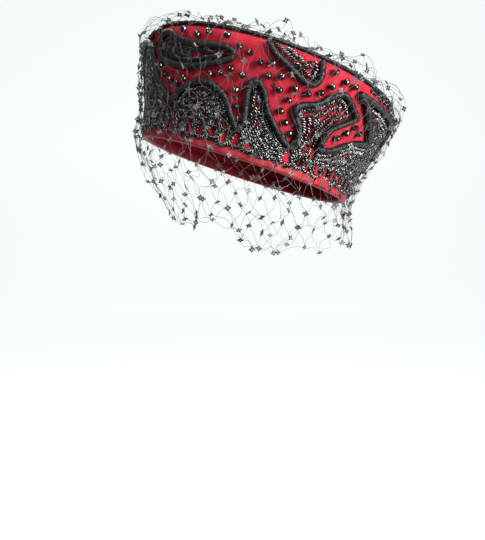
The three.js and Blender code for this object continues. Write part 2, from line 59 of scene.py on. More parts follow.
@dataclass(frozen=True)
class FeltForm:
    """The felt's outer surface, in mm, in the hat's own upright frame.

    A place on it is a bearing (degrees round the hat, 0 front, 90 at +X) and a run, the
    mm up the felt from the rim, over the corner and on to the middle of the tip.
    """

    rim_half_width: float = 90.0
    oval: float = 1.067
    wall_height: float = 68.5
    flare: float = 16.0
    flare_power: float = 1.35
    corner_radius: float = 9.0
    tip_dome: float = 4.0
    felt: float = 2.5
    lean_right: float = 17.8
    lean_forward: float = 5.2

    @cached_property
    def wall_slope(self) -> float:
        """The wall's outward slope at its top, in radians."""
        return math.atan(self.flare * self.flare_power / self.wall_height)

    @cached_property
    def corner_centre(self) -> Pair:
        """Radius and height of the corner's centre.

        Returns:
            The two, in mm.
        """
        reach = self.rim_half_width + self.flare
        return (
            reach - self.corner_radius * math.cos(self.wall_slope),
            self.wall_height + self.corner_radius * math.sin(self.wall_slope),
        )

    @cached_property
    def tip_slope(self) -> float:
        """The tip's slope where it meets the corner, in radians."""
        return math.atan(2 * self.tip_dome / self.corner_centre[0])

    @cached_property
    def tip_edge(self) -> Pair:
        """Radius and height at which the corner becomes the tip.

        Returns:
            The two, in mm.
        """
        r, z = self.corner_centre
        return (
            r + self.corner_radius * math.sin(self.tip_slope),
            z + self.corner_radius * math.cos(self.tip_slope),
        )

    @cached_property
    def run_corner(self) -> float:
        """The run at which the tip starts."""
        turn = math.pi / 2 - self.tip_slope + self.wall_slope
        return self.wall_height + self.corner_radius * turn

    @cached_property
    def run_centre(self) -> float:
        """The run at the middle of the tip."""
        return self.run_corner + self.tip_edge[0]

    @cached_property
    def mm_per_degree(self) -> float:
        """Width of a degree of bearing on the flat drawing."""
        return math.radians(self.rim_half_width + self.flare)

    @cached_property
    def half(self) -> float:
        """Width of half the hat on the flat drawing."""
        return 180 * self.mm_per_degree

    @cached_property
    def worn(self) -> Matrix:
        """The tilt at which the hat is worn."""
        lean = Matrix.Rotation(math.radians(self.lean_right), 4, "Y")
        return lean @ Matrix.Rotation(math.radians(self.lean_forward), 4, "X")

    def section(self, run: Array) -> tuple[Array, Array]:
        """Radius and height of the section at the hat's side.

        Args:
            run: mm up the felt from the rim.

        Returns:
            The radii and the heights, in mm.
        """
        run = np.asarray(run, float)
        share = np.clip(run, 0, self.wall_height) / self.wall_height
        r = self.rim_half_width + self.flare * share**self.flare_power
        z = run.copy()
        angle = (run - self.wall_height) / self.corner_radius - self.wall_slope
        corner = (run > self.wall_height) & (run <= self.run_corner)
        r = np.where(corner, self.corner_centre[0] + self.corner_radius * np.cos(angle), r)
        z = np.where(corner, self.corner_centre[1] + self.corner_radius * np.sin(angle), z)
        tip = run > self.run_corner
        left = np.maximum(self.run_centre - run, 0)
        dome = self.tip_edge[1] + self.tip_dome * (1 - (left / self.tip_edge[0]) ** 2)
        return np.where(tip, left, r), np.where(tip, dome, z)

    def on_felt(self, bearing: Array, run: Array) -> Array:
        """Points on the felt.

        Args:
            bearing: degrees round the hat.
            run: mm up the felt from the rim.

        Returns:
            The points, one row each, in mm.
        """
        r, z = self.section(run)
        turn = np.radians(bearing)
        return np.stack([r * np.sin(turn), -self.oval * r * np.cos(turn), z], -1)

    def normal(self, bearing: Array, run: Array) -> Array:
        """The felt's outward normals.

        Args:
            bearing: degrees round the hat.
            run: mm up the felt from the rim.

        Returns:
            The normals, one row each, one long.
        """
        bearing, run = np.asarray(bearing, float), np.asarray(run, float)
        along = self.on_felt(bearing + 0.5, run) - self.on_felt(bearing - 0.5, run)
        up = self.on_felt(bearing, run + 0.5) - self.on_felt(bearing, run - 0.5)
        n = np.cross(along, up)
        return n / np.maximum(np.linalg.norm(n, axis=-1, keepdims=True), 1e-9)

    def above(self, bearing: Array, run: Array, lift: Array | float) -> Array:
        """Points that stand off the felt.

        Args:
            bearing: degrees round the hat.
            run: mm up the felt.
            lift: mm off the felt.

        Returns:
            The points, one row each, in mm.
        """
        lift = np.asarray(lift, float)[..., None] * np.ones(3)
        return self.on_felt(bearing, run) + self.normal(bearing, run) * lift

    def raised(self, flat: Array, lift: Array | float) -> Array:
        """Points of the flat drawing, laid over the felt at a lift."""
        flat = np.asarray(flat, float)
        return self.above(flat[..., 0] / self.mm_per_degree, flat[..., 1], lift)


FORM = FeltForm()


# ---------------------------------------------------------------- the trim's drawing


@dataclass(frozen=True)
class TrimDrawing:
    """The trim, drawn flat: x is mm round the hat and y is run. One half; it repeats.

    Each table's rows are a bearing and a run. A motif is one or more strokes, and every
    stroke starts at the sharp fold where the one before it ended.
    """

    rouleau_radius: float = 2.3
    margin: float = 0.9
    jet_clearance: float = 5.3
    jet_apart: float = 7.9
    jet_low: float = 20.0
    jet_high: float = 74.4
    jet_grid: float = 2.0
    jet_stray: float = 0.3
    jet_start: float = 1 / 3
    scallop_run: float = 10.2
    scallop_depth: float = 1.7
    scallop_pitch: float = 6.0
    medallion_run: float = 108.0
    medallion_lobes: int = 8
    medallion_depth: float = 8.0
    points_a_row: int = 6
    tables: dict[str, tuple[Table, ...]] = field(
        default_factory=lambda: {
            "arch": (
                (
                    (-39, 26.5), (-34, 34.5), (-28.5, 40), (-23, 42.5), (-18, 41),
                    (-14, 37.5), (-11, 32), (-8.5, 25), (-4.4, 16.8),
                ),
            ),
            "peak": (
                (
                    (-4.4, 16.8), (-3.1, 24), (-3.7, 34), (-4.6, 43), (-4.2, 48.8),
                    (-2.2, 51), (-0.2, 49), (2, 45), (4, 38), (6.5, 32.5), (10.5, 26),
                    (14.5, 21), (18.8, 17.2),
                ),
            ),
            "shield": (
                (
                    (18.8, 17.2), (20.4, 22.5), (19.6, 31.5), (16.6, 37.5), (15, 42.5),
                    (17.2, 46.3), (22.5, 50.5), (26.5, 57.5), (29.8, 62.2), (33, 62.3),
                    (37, 59), (43, 53.5),
                ),
                ((43, 53.5), (37.8, 46.5), (33.6, 40), (31.9, 33), (31.6, 23.8)),
            ),
            "side": (
                (
                    (31.6, 23.8), (38, 26.5), (43.5, 33), (50, 39.2), (55.5, 42),
                    (60.5, 43.4),
                ),
                ((60.5, 43.4), (53.5, 52), (47.5, 59.5), (43.5, 64.5), (37.2, 68.2)),
                (
                    (37.2, 68.2), (47, 68.4), (60, 68.4), (71, 67.4), (79, 63),
                    (83.6, 55), (86.2, 45), (90.6, 30.5),
                ),
            ),
            "flank": (
                (
                    (90.6, 30.5), (93.8, 41), (96.4, 52), (100.4, 62), (107, 67.6),
                    (114.5, 68.2), (120.6, 63.6), (124.2, 54), (127, 45), (132, 36),
                    (141, 26.5),
                ),
            ),
        }
    )
    leaf_table: Table = (
        (-50.2, 64.4), (-47.4, 69.4), (-43, 70.2), (-38, 67), (-31, 64.8), (-24, 65.2),
        (-17, 66), (-13.4, 64), (-13.6, 60), (-17.5, 56.5), (-22.5, 53.5), (-28, 51.2),
        (-34.5, 50), (-41, 51), (-46.4, 53.2), (-49.4, 57), (-50.4, 62.4),
    )
    vee_table: Table = (
        (18, 74.3), (19.4, 67), (19, 62.2), (17, 60), (13, 61), (9, 64), (4.5, 67.5),
        (0.5, 70.6), (-1.9, 74.3),
    )

    def smooth(self, table: Table) -> Array:
        """A smooth flat line through a table's rows.

        Args:
            table: rows of bearing and run.

        Returns:
            The line's points on the flat drawing, one row each, in mm.
        """
        p = np.array(table, float) * (FORM.mm_per_degree, 1)
        n = len(table) * self.points_a_row
        t = np.arange(n + 1) / n * (len(p) - 1)
        i = np.minimum(t.astype(int), len(p) - 1)
        w = (t - i)[:, None]
        last = len(p) - 1
        p0 = p[np.maximum(i - 1, 0)]
        p1 = p[i]
        p2 = p[np.minimum(i + 1, last)]
        p3 = p[np.minimum(i + 2, last)]
        v0, v1 = (p2 - p0) / 2, (p3 - p1) / 2
        cubic = (2 * p1 - 2 * p2 + v0 + v1) * w**3
        square = (-3 * p1 + 3 * p2 - 2 * v0 - v1) * w**2
        return cubic + square + v0 * w + p1

    @cached_property
    def motifs(self) -> dict[str, list[Array]]:
        """Every motif's strokes."""
        return {name: [self.smooth(s) for s in rows] for name, rows in self.tables.items()}

    @cached_property
    def leaf(self) -> Array:
        """The leaf's line."""
        return self.smooth(self.leaf_table)

    @cached_property
    def vee(self) -> Array:
        """The line of the point that hangs from the top edge."""
        return self.smooth(self.vee_table)

    @cached_property
    def every_point(self) -> Array:
        """Every point of every cord's line, with the halves on either side.

        Returns:
            The flat points, one row each.
        """
        lines = [s for strokes in self.motifs.values() for s in strokes]
        points = np.vstack([*lines, self.leaf, self.vee])
        return np.vstack([points + (x, 0) for x in (-FORM.half, 0, FORM.half)])

    def clearance(self, points: Array) -> Array:
        """How far each flat point is from the nearest cord's line, in mm.

        Args:
            points: flat points, one row each.

        Returns:
            The distance of each.
        """
        points = np.atleast_2d(points)
        best = np.full(len(points), np.inf)
        batch = 400
        for start in range(0, len(self.every_point), batch):
            part = self.every_point[start : start + batch]
            gap = np.linalg.norm(points[:, None] - part[None], axis=2).min(1)
            best = np.minimum(best, gap)
        return best

    def besides(self, strokes: list[Array], distance: float) -> Array:
        """A line at a distance from the strokes, on their right-hand side.

        Args:
            strokes: the flat lines to follow, each starting where the last one ended.
            distance: mm between the strokes and the line.

        Returns:
            The line's points that come no nearer than that to any cord.
        """
        corner_shares, slack = (0.2, 0.4, 0.6, 0.8), 0.15
        points, corners, last = [], [], None
        for stroke in strokes:
            first = math.atan2(*(stroke[1] - stroke[0])[::-1])
            if last is not None:
                turn = (first - last) % (2 * math.pi)
                if turn < math.pi:
                    for share in corner_shares:
                        angle = last + share * turn
                        aside = np.array([math.sin(angle), -math.cos(angle)])
                        points.append(stroke[0] + distance * aside)
                else:
                    corners.append(stroke[0])
            ahead = np.vstack([stroke[1:], stroke[-1:]]) - np.vstack([stroke[:1], stroke[:-1]])
            angle = np.arctan2(ahead[:, 1], ahead[:, 0])
            points.extend(stroke + distance * np.stack([np.sin(angle), -np.cos(angle)], 1))
            last = math.atan2(*(stroke[-1] - stroke[-2])[::-1])
        points = np.array(points)
        keep = self.clearance(points) > distance - slack
        for corner in corners:
            keep &= np.linalg.norm(points - corner, axis=1) > 2 * distance
        return points[keep]

    def scallops(self, start: float, end: float) -> Array:
        """The beadwork's scalloped lower edge between two bearings.

        Args:
            start: the first bearing, in degrees.
            end: the last one.

        Returns:
            The edge's flat points.
        """
        count = max(2, int(abs(start - end) / (self.scallop_pitch / 3) + 0.5))
        bearing = start + (end - start) * np.arange(count + 1) / count
        wave = np.abs(np.sin(np.pi * bearing / self.scallop_pitch))
        run = self.scallop_run - self.scallop_depth * wave
        return np.stack([bearing * FORM.mm_per_degree, run], 1)

    def filled(self, strokes: list[Array]) -> Array:
        """The outline of the beadwork under a motif.

        Args:
            strokes: the motif's strokes.

        Returns:
            The outline's corners on the flat drawing.
        """
        inset, every = 0.2, 3
        start, end = strokes[0][0], strokes[-1][-1]
        low = start[0] / FORM.mm_per_degree + inset
        high = end[0] / FORM.mm_per_degree - inset
        under = self.rouleau_radius + 1
        side = self.besides(strokes, self.rouleau_radius + self.margin)
        thin = [p for i, p in enumerate(side) if i % every == 0 or i == len(side) - 1]
        return np.vstack([
            [[low * FORM.mm_per_degree, start[1] - under]],
            thin,
            [[high * FORM.mm_per_degree, end[1] - under]],
            self.scallops(high, low),
        ])

    @cached_property
    def outlines(self) -> dict[str, Array]:
        """The outline of each patch of beadwork on the wall.

        Returns:
            For each motif, and for the leaf and the vee, its outline's corners.
        """
        found = {name: self.filled(strokes) for name, strokes in self.motifs.items()}
        distance = self.rouleau_radius + self.margin
        found["leaf"] = self.besides([self.leaf], distance)
        found["vee"] = self.besides([self.vee], distance)
        return found

    @cached_property
    def jet_spots(self) -> Array:
        """Where the jet beads of one half are, on the flat drawing.

        Returns:
            The flat positions, one row each.
        """
        covered = [self.outlines[name] for name in self.motifs] + [self.leaf, self.vee]
        covered = [line + (x, 0) for line in covered for x in (-FORM.half, 0, FORM.half)]
        across = int(FORM.half / self.jet_grid + 0.5)
        up = int((self.jet_high - self.jet_low) / self.jet_grid + 0.5)
        n = np.arange(across * up)
        order = n[np.argsort(scatter(n + 0.25), kind="stable")]
        x = ((order % across) + self.jet_stray * scatter(order)) / across - self.jet_start
        y = self.jet_low + self.jet_grid * (order // across)
        points = np.stack([x * FORM.half, y], 1)
        bare = self.clearance(points) >= self.jet_clearance
        for line in covered:
            bare &= ~inside(points, line)
        spots: list[Array] = []
        turns = np.array([(-FORM.half, 0), (0, 0), (FORM.half, 0)])
        for p in points[bare]:
            others = [np.linalg.norm(q + turns - p, axis=1).min() for q in spots]
            if not others or min(others) >= self.jet_apart:
                spots.append(p)
        return np.array(spots)

    def medallion(self, start: float, end: float, steps: int) -> Array:
        """The lobed ring on the tip, between two bearings.

        Args:
            start: the first bearing, in degrees.
            end: the last one.
            steps: how many stretches lie between them.

        Returns:
            The ring's flat points.
        """
        bearing = start + (end - start) * np.arange(steps + 1) / steps
        wave = np.cos(np.radians(bearing) * self.medallion_lobes)
        run = self.medallion_run + self.medallion_depth * wave
        return np.stack([bearing * FORM.mm_per_degree, run], 1)


def scatter(n: Array | float) -> Array:
    """Repeatable numbers from -1 to 1, one for each number given."""
    wave = np.sin(np.asarray(n, float) * 12.9898 + 4.1) * 437.585
    return 2 * (wave - np.floor(wave)) - 1


def inside(points: Array, outline: Array) -> Array:
    """Which flat points lie inside a closed outline.

    Args:
        points: one row each.
        outline: the outline's corners in order.

    Returns:
        True or False for each point.
    """
    odd = np.zeros(len(points), bool)
    px, py = points[:, 0], points[:, 1]
    for a, b in zip(outline, np.roll(outline, -1, axis=0)):
        if a[1] == b[1]:
            continue
        crosses = (a[1] > py) != (b[1] > py)
        at = a[0] + (b[0] - a[0]) * (py - a[1]) / (b[1] - a[1])
        odd ^= crosses & (px < at)
    return odd


DRAWING = TrimDrawing()


# ---------------------------------------------------------------- finishes


class NodeBoard:
    """A short way to lay out a material's nodes."""

    def __init__(self, name: str) -> None:
        """Starts a material that has its shader and nothing else.

        Args:
            name: the material's name.
        """
        self.material = bpy.data.materials.new(name)
        self.material.use_nodes = True
        self.tree = self.material.node_tree
        self.shader = self.tree.nodes["Principled BSDF"]

    def node(
        self, kind: str, inputs: dict[str | int, object] | None = None, **settings: object
    ) -> bpy.types.Node:
        """Adds a node.

        Args:
            kind: the node's type.
            inputs: sockets to set or, where the value is a socket, to link.
            settings: the node's own properties.

        Returns:
            The node.
        """
        made = self.tree.nodes.new(kind)
        for key, value in settings.items():
            setattr(made, key, value)
        for key, value in (inputs or {}).items():
            self.set(made.inputs[key], value)
        return made

    def set(self, socket: Socket, value: object) -> None:
        """Links a socket to another, or sets its value.

        Args:
            socket: the socket to set.
            value: a value, or the socket that it reads.
        """
        if isinstance(value, Socket):
            self.tree.links.new(value, socket)
        else:
            socket.default_value = value

    def shade(self, **inputs: object) -> None:
        """Sets or links sockets of the shader, named with _ for a space."""
        for key, value in inputs.items():
            self.set(self.shader.inputs[key.replace("_", " ")], value)

    def place(self, scale: Triple = (1, 1, 1), turn: float = 0.0) -> Socket:
        """Object coordinates, scaled and turned about Z."""
        source = self.node("ShaderNodeTexCoord").outputs["Object"]
        return self.mapped(source, scale, turn)

    def along(self, layer: str, scale: Triple = (1, 1, 1), turn: float = 0.0) -> Socket:
        """A UV map's coordinates, scaled and turned."""
        source = self.node("ShaderNodeUVMap", uv_map=layer).outputs["UV"]
        return self.mapped(source, scale, turn)

    def mapped(self, source: Socket, scale: Triple, turn: float) -> Socket:
        """Coordinates through a Mapping node.

        Args:
            source: the coordinates.
            scale: how many times as dense the pattern is.
            turn: degrees about Z.

        Returns:
            The mapped coordinates.
        """
        made = self.node("ShaderNodeMapping", {"Vector": source, "Scale": scale})
        made.inputs["Rotation"].default_value = (0, 0, math.radians(turn))
        return made.outputs["Vector"]

    def noise(self, where: Socket, scale: float, detail: float = 4.0, rough: float = 0.55) -> Socket:
        """A noise pattern's value.

        Args:
            where: the coordinates.
            scale: the pattern's scale.
            detail: how many finer layers it has.
            rough: how strong those are.

        Returns:
            The value, from 0 to 1.
        """
        made = self.node(
            "ShaderNodeTexNoise",
            {"Vector": where, "Scale": scale, "Detail": detail, "Roughness": rough},
        )
        return made.outputs["Fac"]

    def ramp(self, value: Socket, stops: Sequence[tuple[float, Triple]]) -> Socket:
        """Colours that follow a value.

        Args:
            value: what the colour follows.
            stops: each a position and a colour.

        Returns:
            The colour.
        """
        made = self.node("ShaderNodeValToRGB", {"Fac": value})
        elements = made.color_ramp.elements
        while len(elements) < len(stops):
            elements.new(0.5)
        for element, (position, colour) in zip(elements, stops):
            element.position = position
            element.color = (*colour, 1)
        return made.outputs["Color"]

    def spread(self, value: Socket, low: float, high: float) -> Socket:
        """A value from 0 to 1 stretched to another range."""
        made = self.node("ShaderNodeMapRange", {"Value": value, "To Min": low, "To Max": high})
        return made.outputs["Result"]

    def bump(
        self, height: Socket, depth: float, strength: float = 1.0, under: Socket | None = None
    ) -> Socket:
        """Relief, laid over another relief if there is one.

        Args:
            height: the relief, from 0 to 1.
            depth: how deep it is, in metres.
            strength: how much of it counts.
            under: another relief that it lies on.

        Returns:
            The normal.
        """
        values = {"Height": height, "Distance": depth, "Strength": strength}
        made = self.node("ShaderNodeBump", values)
        if under is not None:
            self.set(made.inputs["Normal"], under)
        return made.outputs["Normal"]


@dataclass(frozen=True)
class WoolFelt:
    """Blocked wool felt: matte, faintly mottled, with a short nap."""

    dark: Triple = (0.26, 0.011, 0.020)
    light: Triple = (0.37, 0.020, 0.034)
    nap: float = 0.00022

    def build(self) -> bpy.types.Material:
        """Makes the material.

        Returns:
            The material.
        """
        board = NodeBoard("wool_felt")
        place = board.place()
        mottle = board.noise(place, 55, 5, 0.6)
        fibres = board.noise(board.place((1, 1, 2.2)), 1500, 5, 0.7)
        blend = board.node(
            "ShaderNodeMath", {0: mottle, 1: board.spread(fibres, -0.12, 0.12)}, operation="ADD"
        )
        colour = board.ramp(blend.outputs[0], [(0.3, self.dark), (0.7, self.light)])
        relief = board.bump(fibres, self.nap, 0.55)
        relief = board.bump(board.noise(place, 260, 3), 0.0003, 0.25, relief)
        board.shade(
            Base_Color=colour,
            Roughness=board.spread(mottle, 0.82, 0.95),
            Sheen_Weight=0.08,
            Sheen_Roughness=0.5,
            Sheen_Tint=(1.0, 0.12, 0.15, 1),
            Specular_IOR_Level=0.06,
            Normal=relief,
        )
        return board.material


@dataclass(frozen=True)
class SatinRibbon:
    """Satin ribbon cut on the bias, with pulled creases across it."""

    dark: Triple = (0.20, 0.008, 0.014)
    light: Triple = (0.31, 0.016, 0.028)
    weave: float = 0.00006

    def build(self) -> bpy.types.Material:
        """Makes the material.

        Returns:
            The material.
        """
        board = NodeBoard("satin_ribbon")
        place = board.place()
        shade = board.noise(place, 90, 4)
        threads = board.node(
            "ShaderNodeTexWave",
            {"Vector": board.place((1, 1, 1), 45), "Scale": 950.0, "Distortion": 1.5},
        ).outputs["Fac"]
        relief = board.bump(threads, self.weave, 0.5)
        relief = board.bump(board.noise(board.place((1, 1, 0.35)), 160, 3), 0.0006, 0.35, relief)
        board.shade(
            Base_Color=board.ramp(shade, [(0.3, self.dark), (0.72, self.light)]),
            Roughness=board.spread(shade, 0.42, 0.55),
            Sheen_Weight=0.05,
            Sheen_Roughness=0.3,
            Sheen_Tint=(1.0, 0.35, 0.4, 1),
            Specular_IOR_Level=0.25,
            Normal=relief,
        )
        return board.material


@dataclass(frozen=True)
class RouleauCloth:
    """Matte black crepe over a filler cord, creased across where it bends; its colour is painted
    darker in the crease hollows and lighter on the ridges, as painted shade.
    """

    # dark colours the crease hollows and light the ridges: painted shade.
    dark: Triple = (0.001, 0.001, 0.0015)
    light: Triple = (0.007, 0.007, 0.009)

    def build(self) -> bpy.types.Material:
        """Makes the material. The UV map is mm along the cord and mm round it.

        Returns:
            The material.
        """
        board = NodeBoard("rouleau_cloth")
        creases = board.noise(board.along("cord", (0.55, 0.16, 1), 28), 1.0, 4, 0.6)
        crepe = board.noise(board.along("cord", (1, 1, 1)), 3.2, 4, 0.7)
        relief = board.bump(creases, 0.0016, 1.0)
        relief = board.bump(crepe, 0.0002, 0.6, relief)
        # Painted shade: the colour follows the crease relief, darker in its hollows and lighter on
        # its ridges.
        colour = board.ramp(creases, [(0.36, self.dark), (0.64, self.light)])
        board.shade(
            Base_Color=colour,
            Roughness=board.spread(creases, 0.27, 0.42),
            Sheen_Weight=0.015,
            Sheen_Roughness=0.35,
            Sheen_Tint=(0.75, 0.77, 0.85, 1),
            Specular_IOR_Level=0.36,
            Normal=relief,
        )
        return board.material


@dataclass(frozen=True)
class BlackGlass:
    """Opaque black glass for beads, from clean jet to slightly worn bugles."""

    name: str
    colour: Triple
    smooth: float
    worn: float
    coat: float

    def build(self) -> bpy.types.Material:
        """Makes the material.

        Returns:
            The material.
        """
        board = NodeBoard(self.name)
        cloud = board.noise(board.place(), 420, 3)
        tint = tuple(c * 2 + 0.002 for c in self.colour)
        board.shade(
            Base_Color=board.ramp(cloud, [(0.35, self.colour), (0.8, tint)]),
            Roughness=board.spread(cloud, self.smooth, self.worn),
            IOR=1.7,
            Specular_IOR_Level=0.5,
            Coat_Weight=self.coat,
            Coat_Roughness=0.05,
        )
        return board.material


@dataclass(frozen=True)
class NetThread:
    """Waxed black net thread, with lighter grey patches painted in as sheen where it would catch the
    light.
    """

    name: str
    # dark is the thread's own black; light is painted sheen, the grey of thread that catches the
    # light.
    dark: Triple
    light: Triple

    def build(self) -> bpy.types.Material:
        """Makes the material.

        Returns:
            The material.
        """
        board = NodeBoard(self.name)
        place = board.place()
        patch = board.noise(place, 130, 3)
        ply = board.noise(place, 2400, 2)
        board.shade(
            # Painted sheen: patches of the thread are coloured light grey, as where it catches the
            # light.
            Base_Color=board.ramp(patch, [(0.42, self.dark), (0.66, self.light)]),
            Roughness=board.spread(ply, 0.3, 0.5),
            Sheen_Weight=0.03,
            Sheen_Roughness=0.4,
            Normal=board.bump(ply, 0.00008, 0.5),
        )
        return board.material


@dataclass(frozen=True)
class StudioPaper:
    """Seamless white paper."""

    def build(self) -> bpy.types.Material:
        """Makes the material.

        Returns:
            The material.
        """
        board = NodeBoard("studio_paper")
        board.shade(
            Base_Color=(0.3, 0.305, 0.305, 1),
            Roughness=0.9,
            Specular_IOR_Level=0.1,
            Emission_Color=(0.95, 1.0, 0.99, 1),
            Emission_Strength=0.86,
        )
        return board.material


class Finish(Enum):
    """The finishes, each made once and shared."""

    FELT = WoolFelt()
    SATIN = SatinRibbon()
    ROULEAU = RouleauCloth()
    BEAD = BlackGlass("bead_glass", (0.0015, 0.0015, 0.002), 0.06, 0.2, 0.3)
    JET = BlackGlass("jet_glass", (0.002, 0.002, 0.0025), 0.04, 0.12, 0.5)
    # The net's light greys are painted sheen.
    STRAND = NetThread("net_strand", (0.008, 0.008, 0.01), (0.13, 0.125, 0.135))
    KNOT = NetThread("net_knot", (0.006, 0.006, 0.008), (0.16, 0.155, 0.165))
    PAPER = StudioPaper()

    @cached_property
    def material(self) -> bpy.types.Material:
        """The finish's material."""
        return self.value.build()


class Slot(str, Enum):
    """The record's material slots."""

    FELT = "felt"
    SATIN = "satin"
    ROULEAU = "rouleau"
    BEAD = "bead"
    JET = "jet"
    NET = "net"


# ---------------------------------------------------------------- modelling helpers


def clear_selection() -> None:
    """Leaves object mode with nothing selected."""
    if bpy.context.object is not None and bpy.context.object.mode != "OBJECT":
        bpy.ops.object.mode_set(mode="OBJECT")
    bpy.ops.object.select_all(action="DESELECT")


def take_new(name: str) -> bpy.types.Object:
    """Names the object that an operator has just added.

    Args:
        name: its name.

    Returns:
        The object.
    """
    made = bpy.context.object
    made.name = name
    made.data.name = name
    return made


def settle(obj: bpy.types.Object, turn: Matrix | None = None) -> None:
    """Puts an object's place, turn and scale into its mesh.

    Args:
        obj: the object.
        turn: a turn to give it first.
    """
    clear_selection()
    obj.select_set(True)
    bpy.context.view_layer.objects.active = obj
    if turn is not None:
        obj.matrix_world = turn @ obj.matrix_world
    bpy.ops.object.transform_apply(location=True, rotation=True, scale=True)


def apply_modifiers(obj: bpy.types.Object) -> None:
    """Applies every modifier of an object.

    Args:
        obj: the object.
    """
    clear_selection()
    obj.select_set(True)
    bpy.context.view_layer.objects.active = obj
    for modifier in list(obj.modifiers):
        bpy.ops.object.modifier_apply(modifier=modifier.name)


def finish_piece(obj: bpy.types.Object, finish: Finish, nodes: Iterable[str]) -> None:
    """Dresses a finished piece and ties it to the frame.

    Args:
        obj: the piece.
        finish: its finish.
        nodes: the CAD nodes that it stands for.
    """
    obj.data.materials.clear()
    obj.data.materials.append(finish.material)
    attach(obj, "root")
    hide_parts(*nodes)
    triangles = sum(len(p.vertices) - 2 for p in obj.data.polygons)
    log.info("%s: %d triangles, stands for %d nodes", obj.name, triangles, len(list(nodes)))


def nodes_named(start: str) -> list[str]:
    """The CAD nodes whose names start this way."""
    return sorted(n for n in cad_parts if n.startswith(start))


def lathe_rings(
    name: str, rings: Sequence[Pair], segments: int, closed: bool
) -> bpy.types.Object:
    """Raises a circle through rings of a radius and a height, as on a lathe.

    Args:
        name: the object's name.
        rings: radius and height of each ring, in mm; a radius of 0 closes to a point.
        segments: points in each ring.
        closed: whether the last ring joins the first.

    Returns:
        The object, in object mode.
    """
    clear_selection()
    radius, height = rings[0]
    bpy.ops.mesh.primitive_circle_add(
        vertices=segments, radius=radius * MM, location=(0, 0, height * MM)
    )
    obj = take_new(name)
    settle(obj)
    bpy.ops.object.mode_set(mode="EDIT")
    bpy.ops.mesh.select_all(action="SELECT")
    for next_radius, next_height in rings[1:]:
        bpy.ops.mesh.extrude_region_move(
            TRANSFORM_OT_translate={"value": (0, 0, (next_height - height) * MM)}
        )
        if next_radius == 0:
            bpy.ops.mesh.merge(type="CENTER")
            break
        share = next_radius / radius
        bpy.ops.transform.resize(
            value=(share, share, 1), center_override=(0, 0, next_height * MM)
        )
        radius, height = next_radius, next_height
    if closed:
        bpy.ops.mesh.select_all(action="DESELECT")
        bpy.ops.mesh.select_non_manifold()
        bpy.ops.mesh.bridge_edge_loops()
    bpy.ops.mesh.select_all(action="SELECT")
    bpy.ops.mesh.normals_make_consistent(inside=False)
    bpy.ops.transform.resize(value=(1, FORM.oval, 1), center_override=(0, 0, 0))
    bpy.ops.object.mode_set(mode="OBJECT")
    return obj


def mesh_arrays(obj: bpy.types.Object) -> tuple[Array, Array]:
    """An object's points and triangles, as arrays.

    Args:
        obj: the object.

    Returns:
        The points, and the three points of each triangle.
    """
    mesh = obj.data
    mesh.calc_loop_triangles()
    points = np.empty(len(mesh.vertices) * 3)
    mesh.vertices.foreach_get("co", points)
    faces = np.empty(len(mesh.loop_triangles) * 3, int)
    mesh.loop_triangles.foreach_get("vertices", faces)
    return points.reshape(-1, 3), faces.reshape(-1, 3)


def move_points(obj: bpy.types.Object, change: Callable[[Array], Array]) -> None:
    """Moves an object's points by a function of where they are.

    Args:
        obj: the object.
        change: takes the points and returns where they go, both in metres.
    """
    points, _ = mesh_arrays(obj)
    obj.data.vertices.foreach_set("co", change(points).ravel())
    obj.data.update()


def joined_copies(
    name: str, pattern: bpy.types.Object, places: Array, smooth: bool
) -> bpy.types.Object:
    """Copies a small piece to many places as one mesh, and removes the piece.

    Args:
        name: the new object's name.
        pattern: the small piece, about the origin.
        places: a 4x4 matrix for each copy, in metres.
        smooth: whether its faces are shaded smooth.

    Returns:
        The new object.
    """
    points, faces = mesh_arrays(pattern)
    spread = np.hstack([points, np.ones((len(points), 1))])
    every = np.einsum("nij,kj->nki", places, spread)[..., :3].reshape(-1, 3)
    step = np.arange(len(places))[:, None, None] * len(points)
    triangles = (faces[None] + step).reshape(-1, 3)
    mesh = bpy.data.meshes.new(name)
    mesh.vertices.add(len(every))
    mesh.vertices.foreach_set("co", every.ravel())
    mesh.loops.add(triangles.size)
    mesh.loops.foreach_set("vertex_index", triangles.ravel().astype(np.int32))
    mesh.polygons.add(len(triangles))
    mesh.polygons.foreach_set("loop_start", np.arange(0, triangles.size, 3, dtype=np.int32))
    mesh.polygons.foreach_set("use_smooth", np.full(len(triangles), smooth))
    mesh.update(calc_edges=True)
    obj = bpy.data.objects.new(name, mesh)
    bpy.context.scene.collection.objects.link(obj)
    bpy.data.objects.remove(pattern)
    return obj


def swept_tubes(
    name: str,
    centres: Sequence[Array],
    radius: float,
    roundness: int,
    swells: Sequence[Array] | None = None,
) -> bpy.types.Object:
    """Sweeps a capped round tube along each line, all as one mesh.

    Args:
        name: the object's name.
        centres: each tube's centre line, as worn and in metres.
        radius: the tubes' radius, in mm.
        roundness: the curve's bevel resolution; 0 gives a tube four sides.
        swells: for each tube, the share of the radius that it has at each point.

    Returns:
        The mesh, whose points go ring by ring along each tube in turn.
    """
    clear_selection()
    bpy.ops.curve.primitive_nurbs_path_add()
    obj = take_new(name)
    curve = obj.data
    curve.splines.clear()
    curve.dimensions = "3D"
    curve.bevel_depth = radius * MM
    curve.bevel_resolution = roundness
    curve.use_fill_caps = True
    for k, points in enumerate(centres):
        spline = curve.splines.new("POLY")
        spline.points.add(len(points) - 1)
        spline.points.foreach_set("co", np.hstack([points, np.ones((len(points), 1))]).ravel())
        if swells is not None:
            spline.points.foreach_set("radius", swells[k])
    obj.location = (0, 0, 0)
    obj.rotation_euler = (0, 0, 0)
    bpy.ops.object.convert(target="MESH")
    made = bpy.context.object
    settle(made)
    return made


def worn_points(points: Array) -> Array:
    """Points in the hat's upright frame, in mm, as worn and in metres."""
    turn = np.array(FORM.worn.to_3x3())
    return points @ turn.T * MM


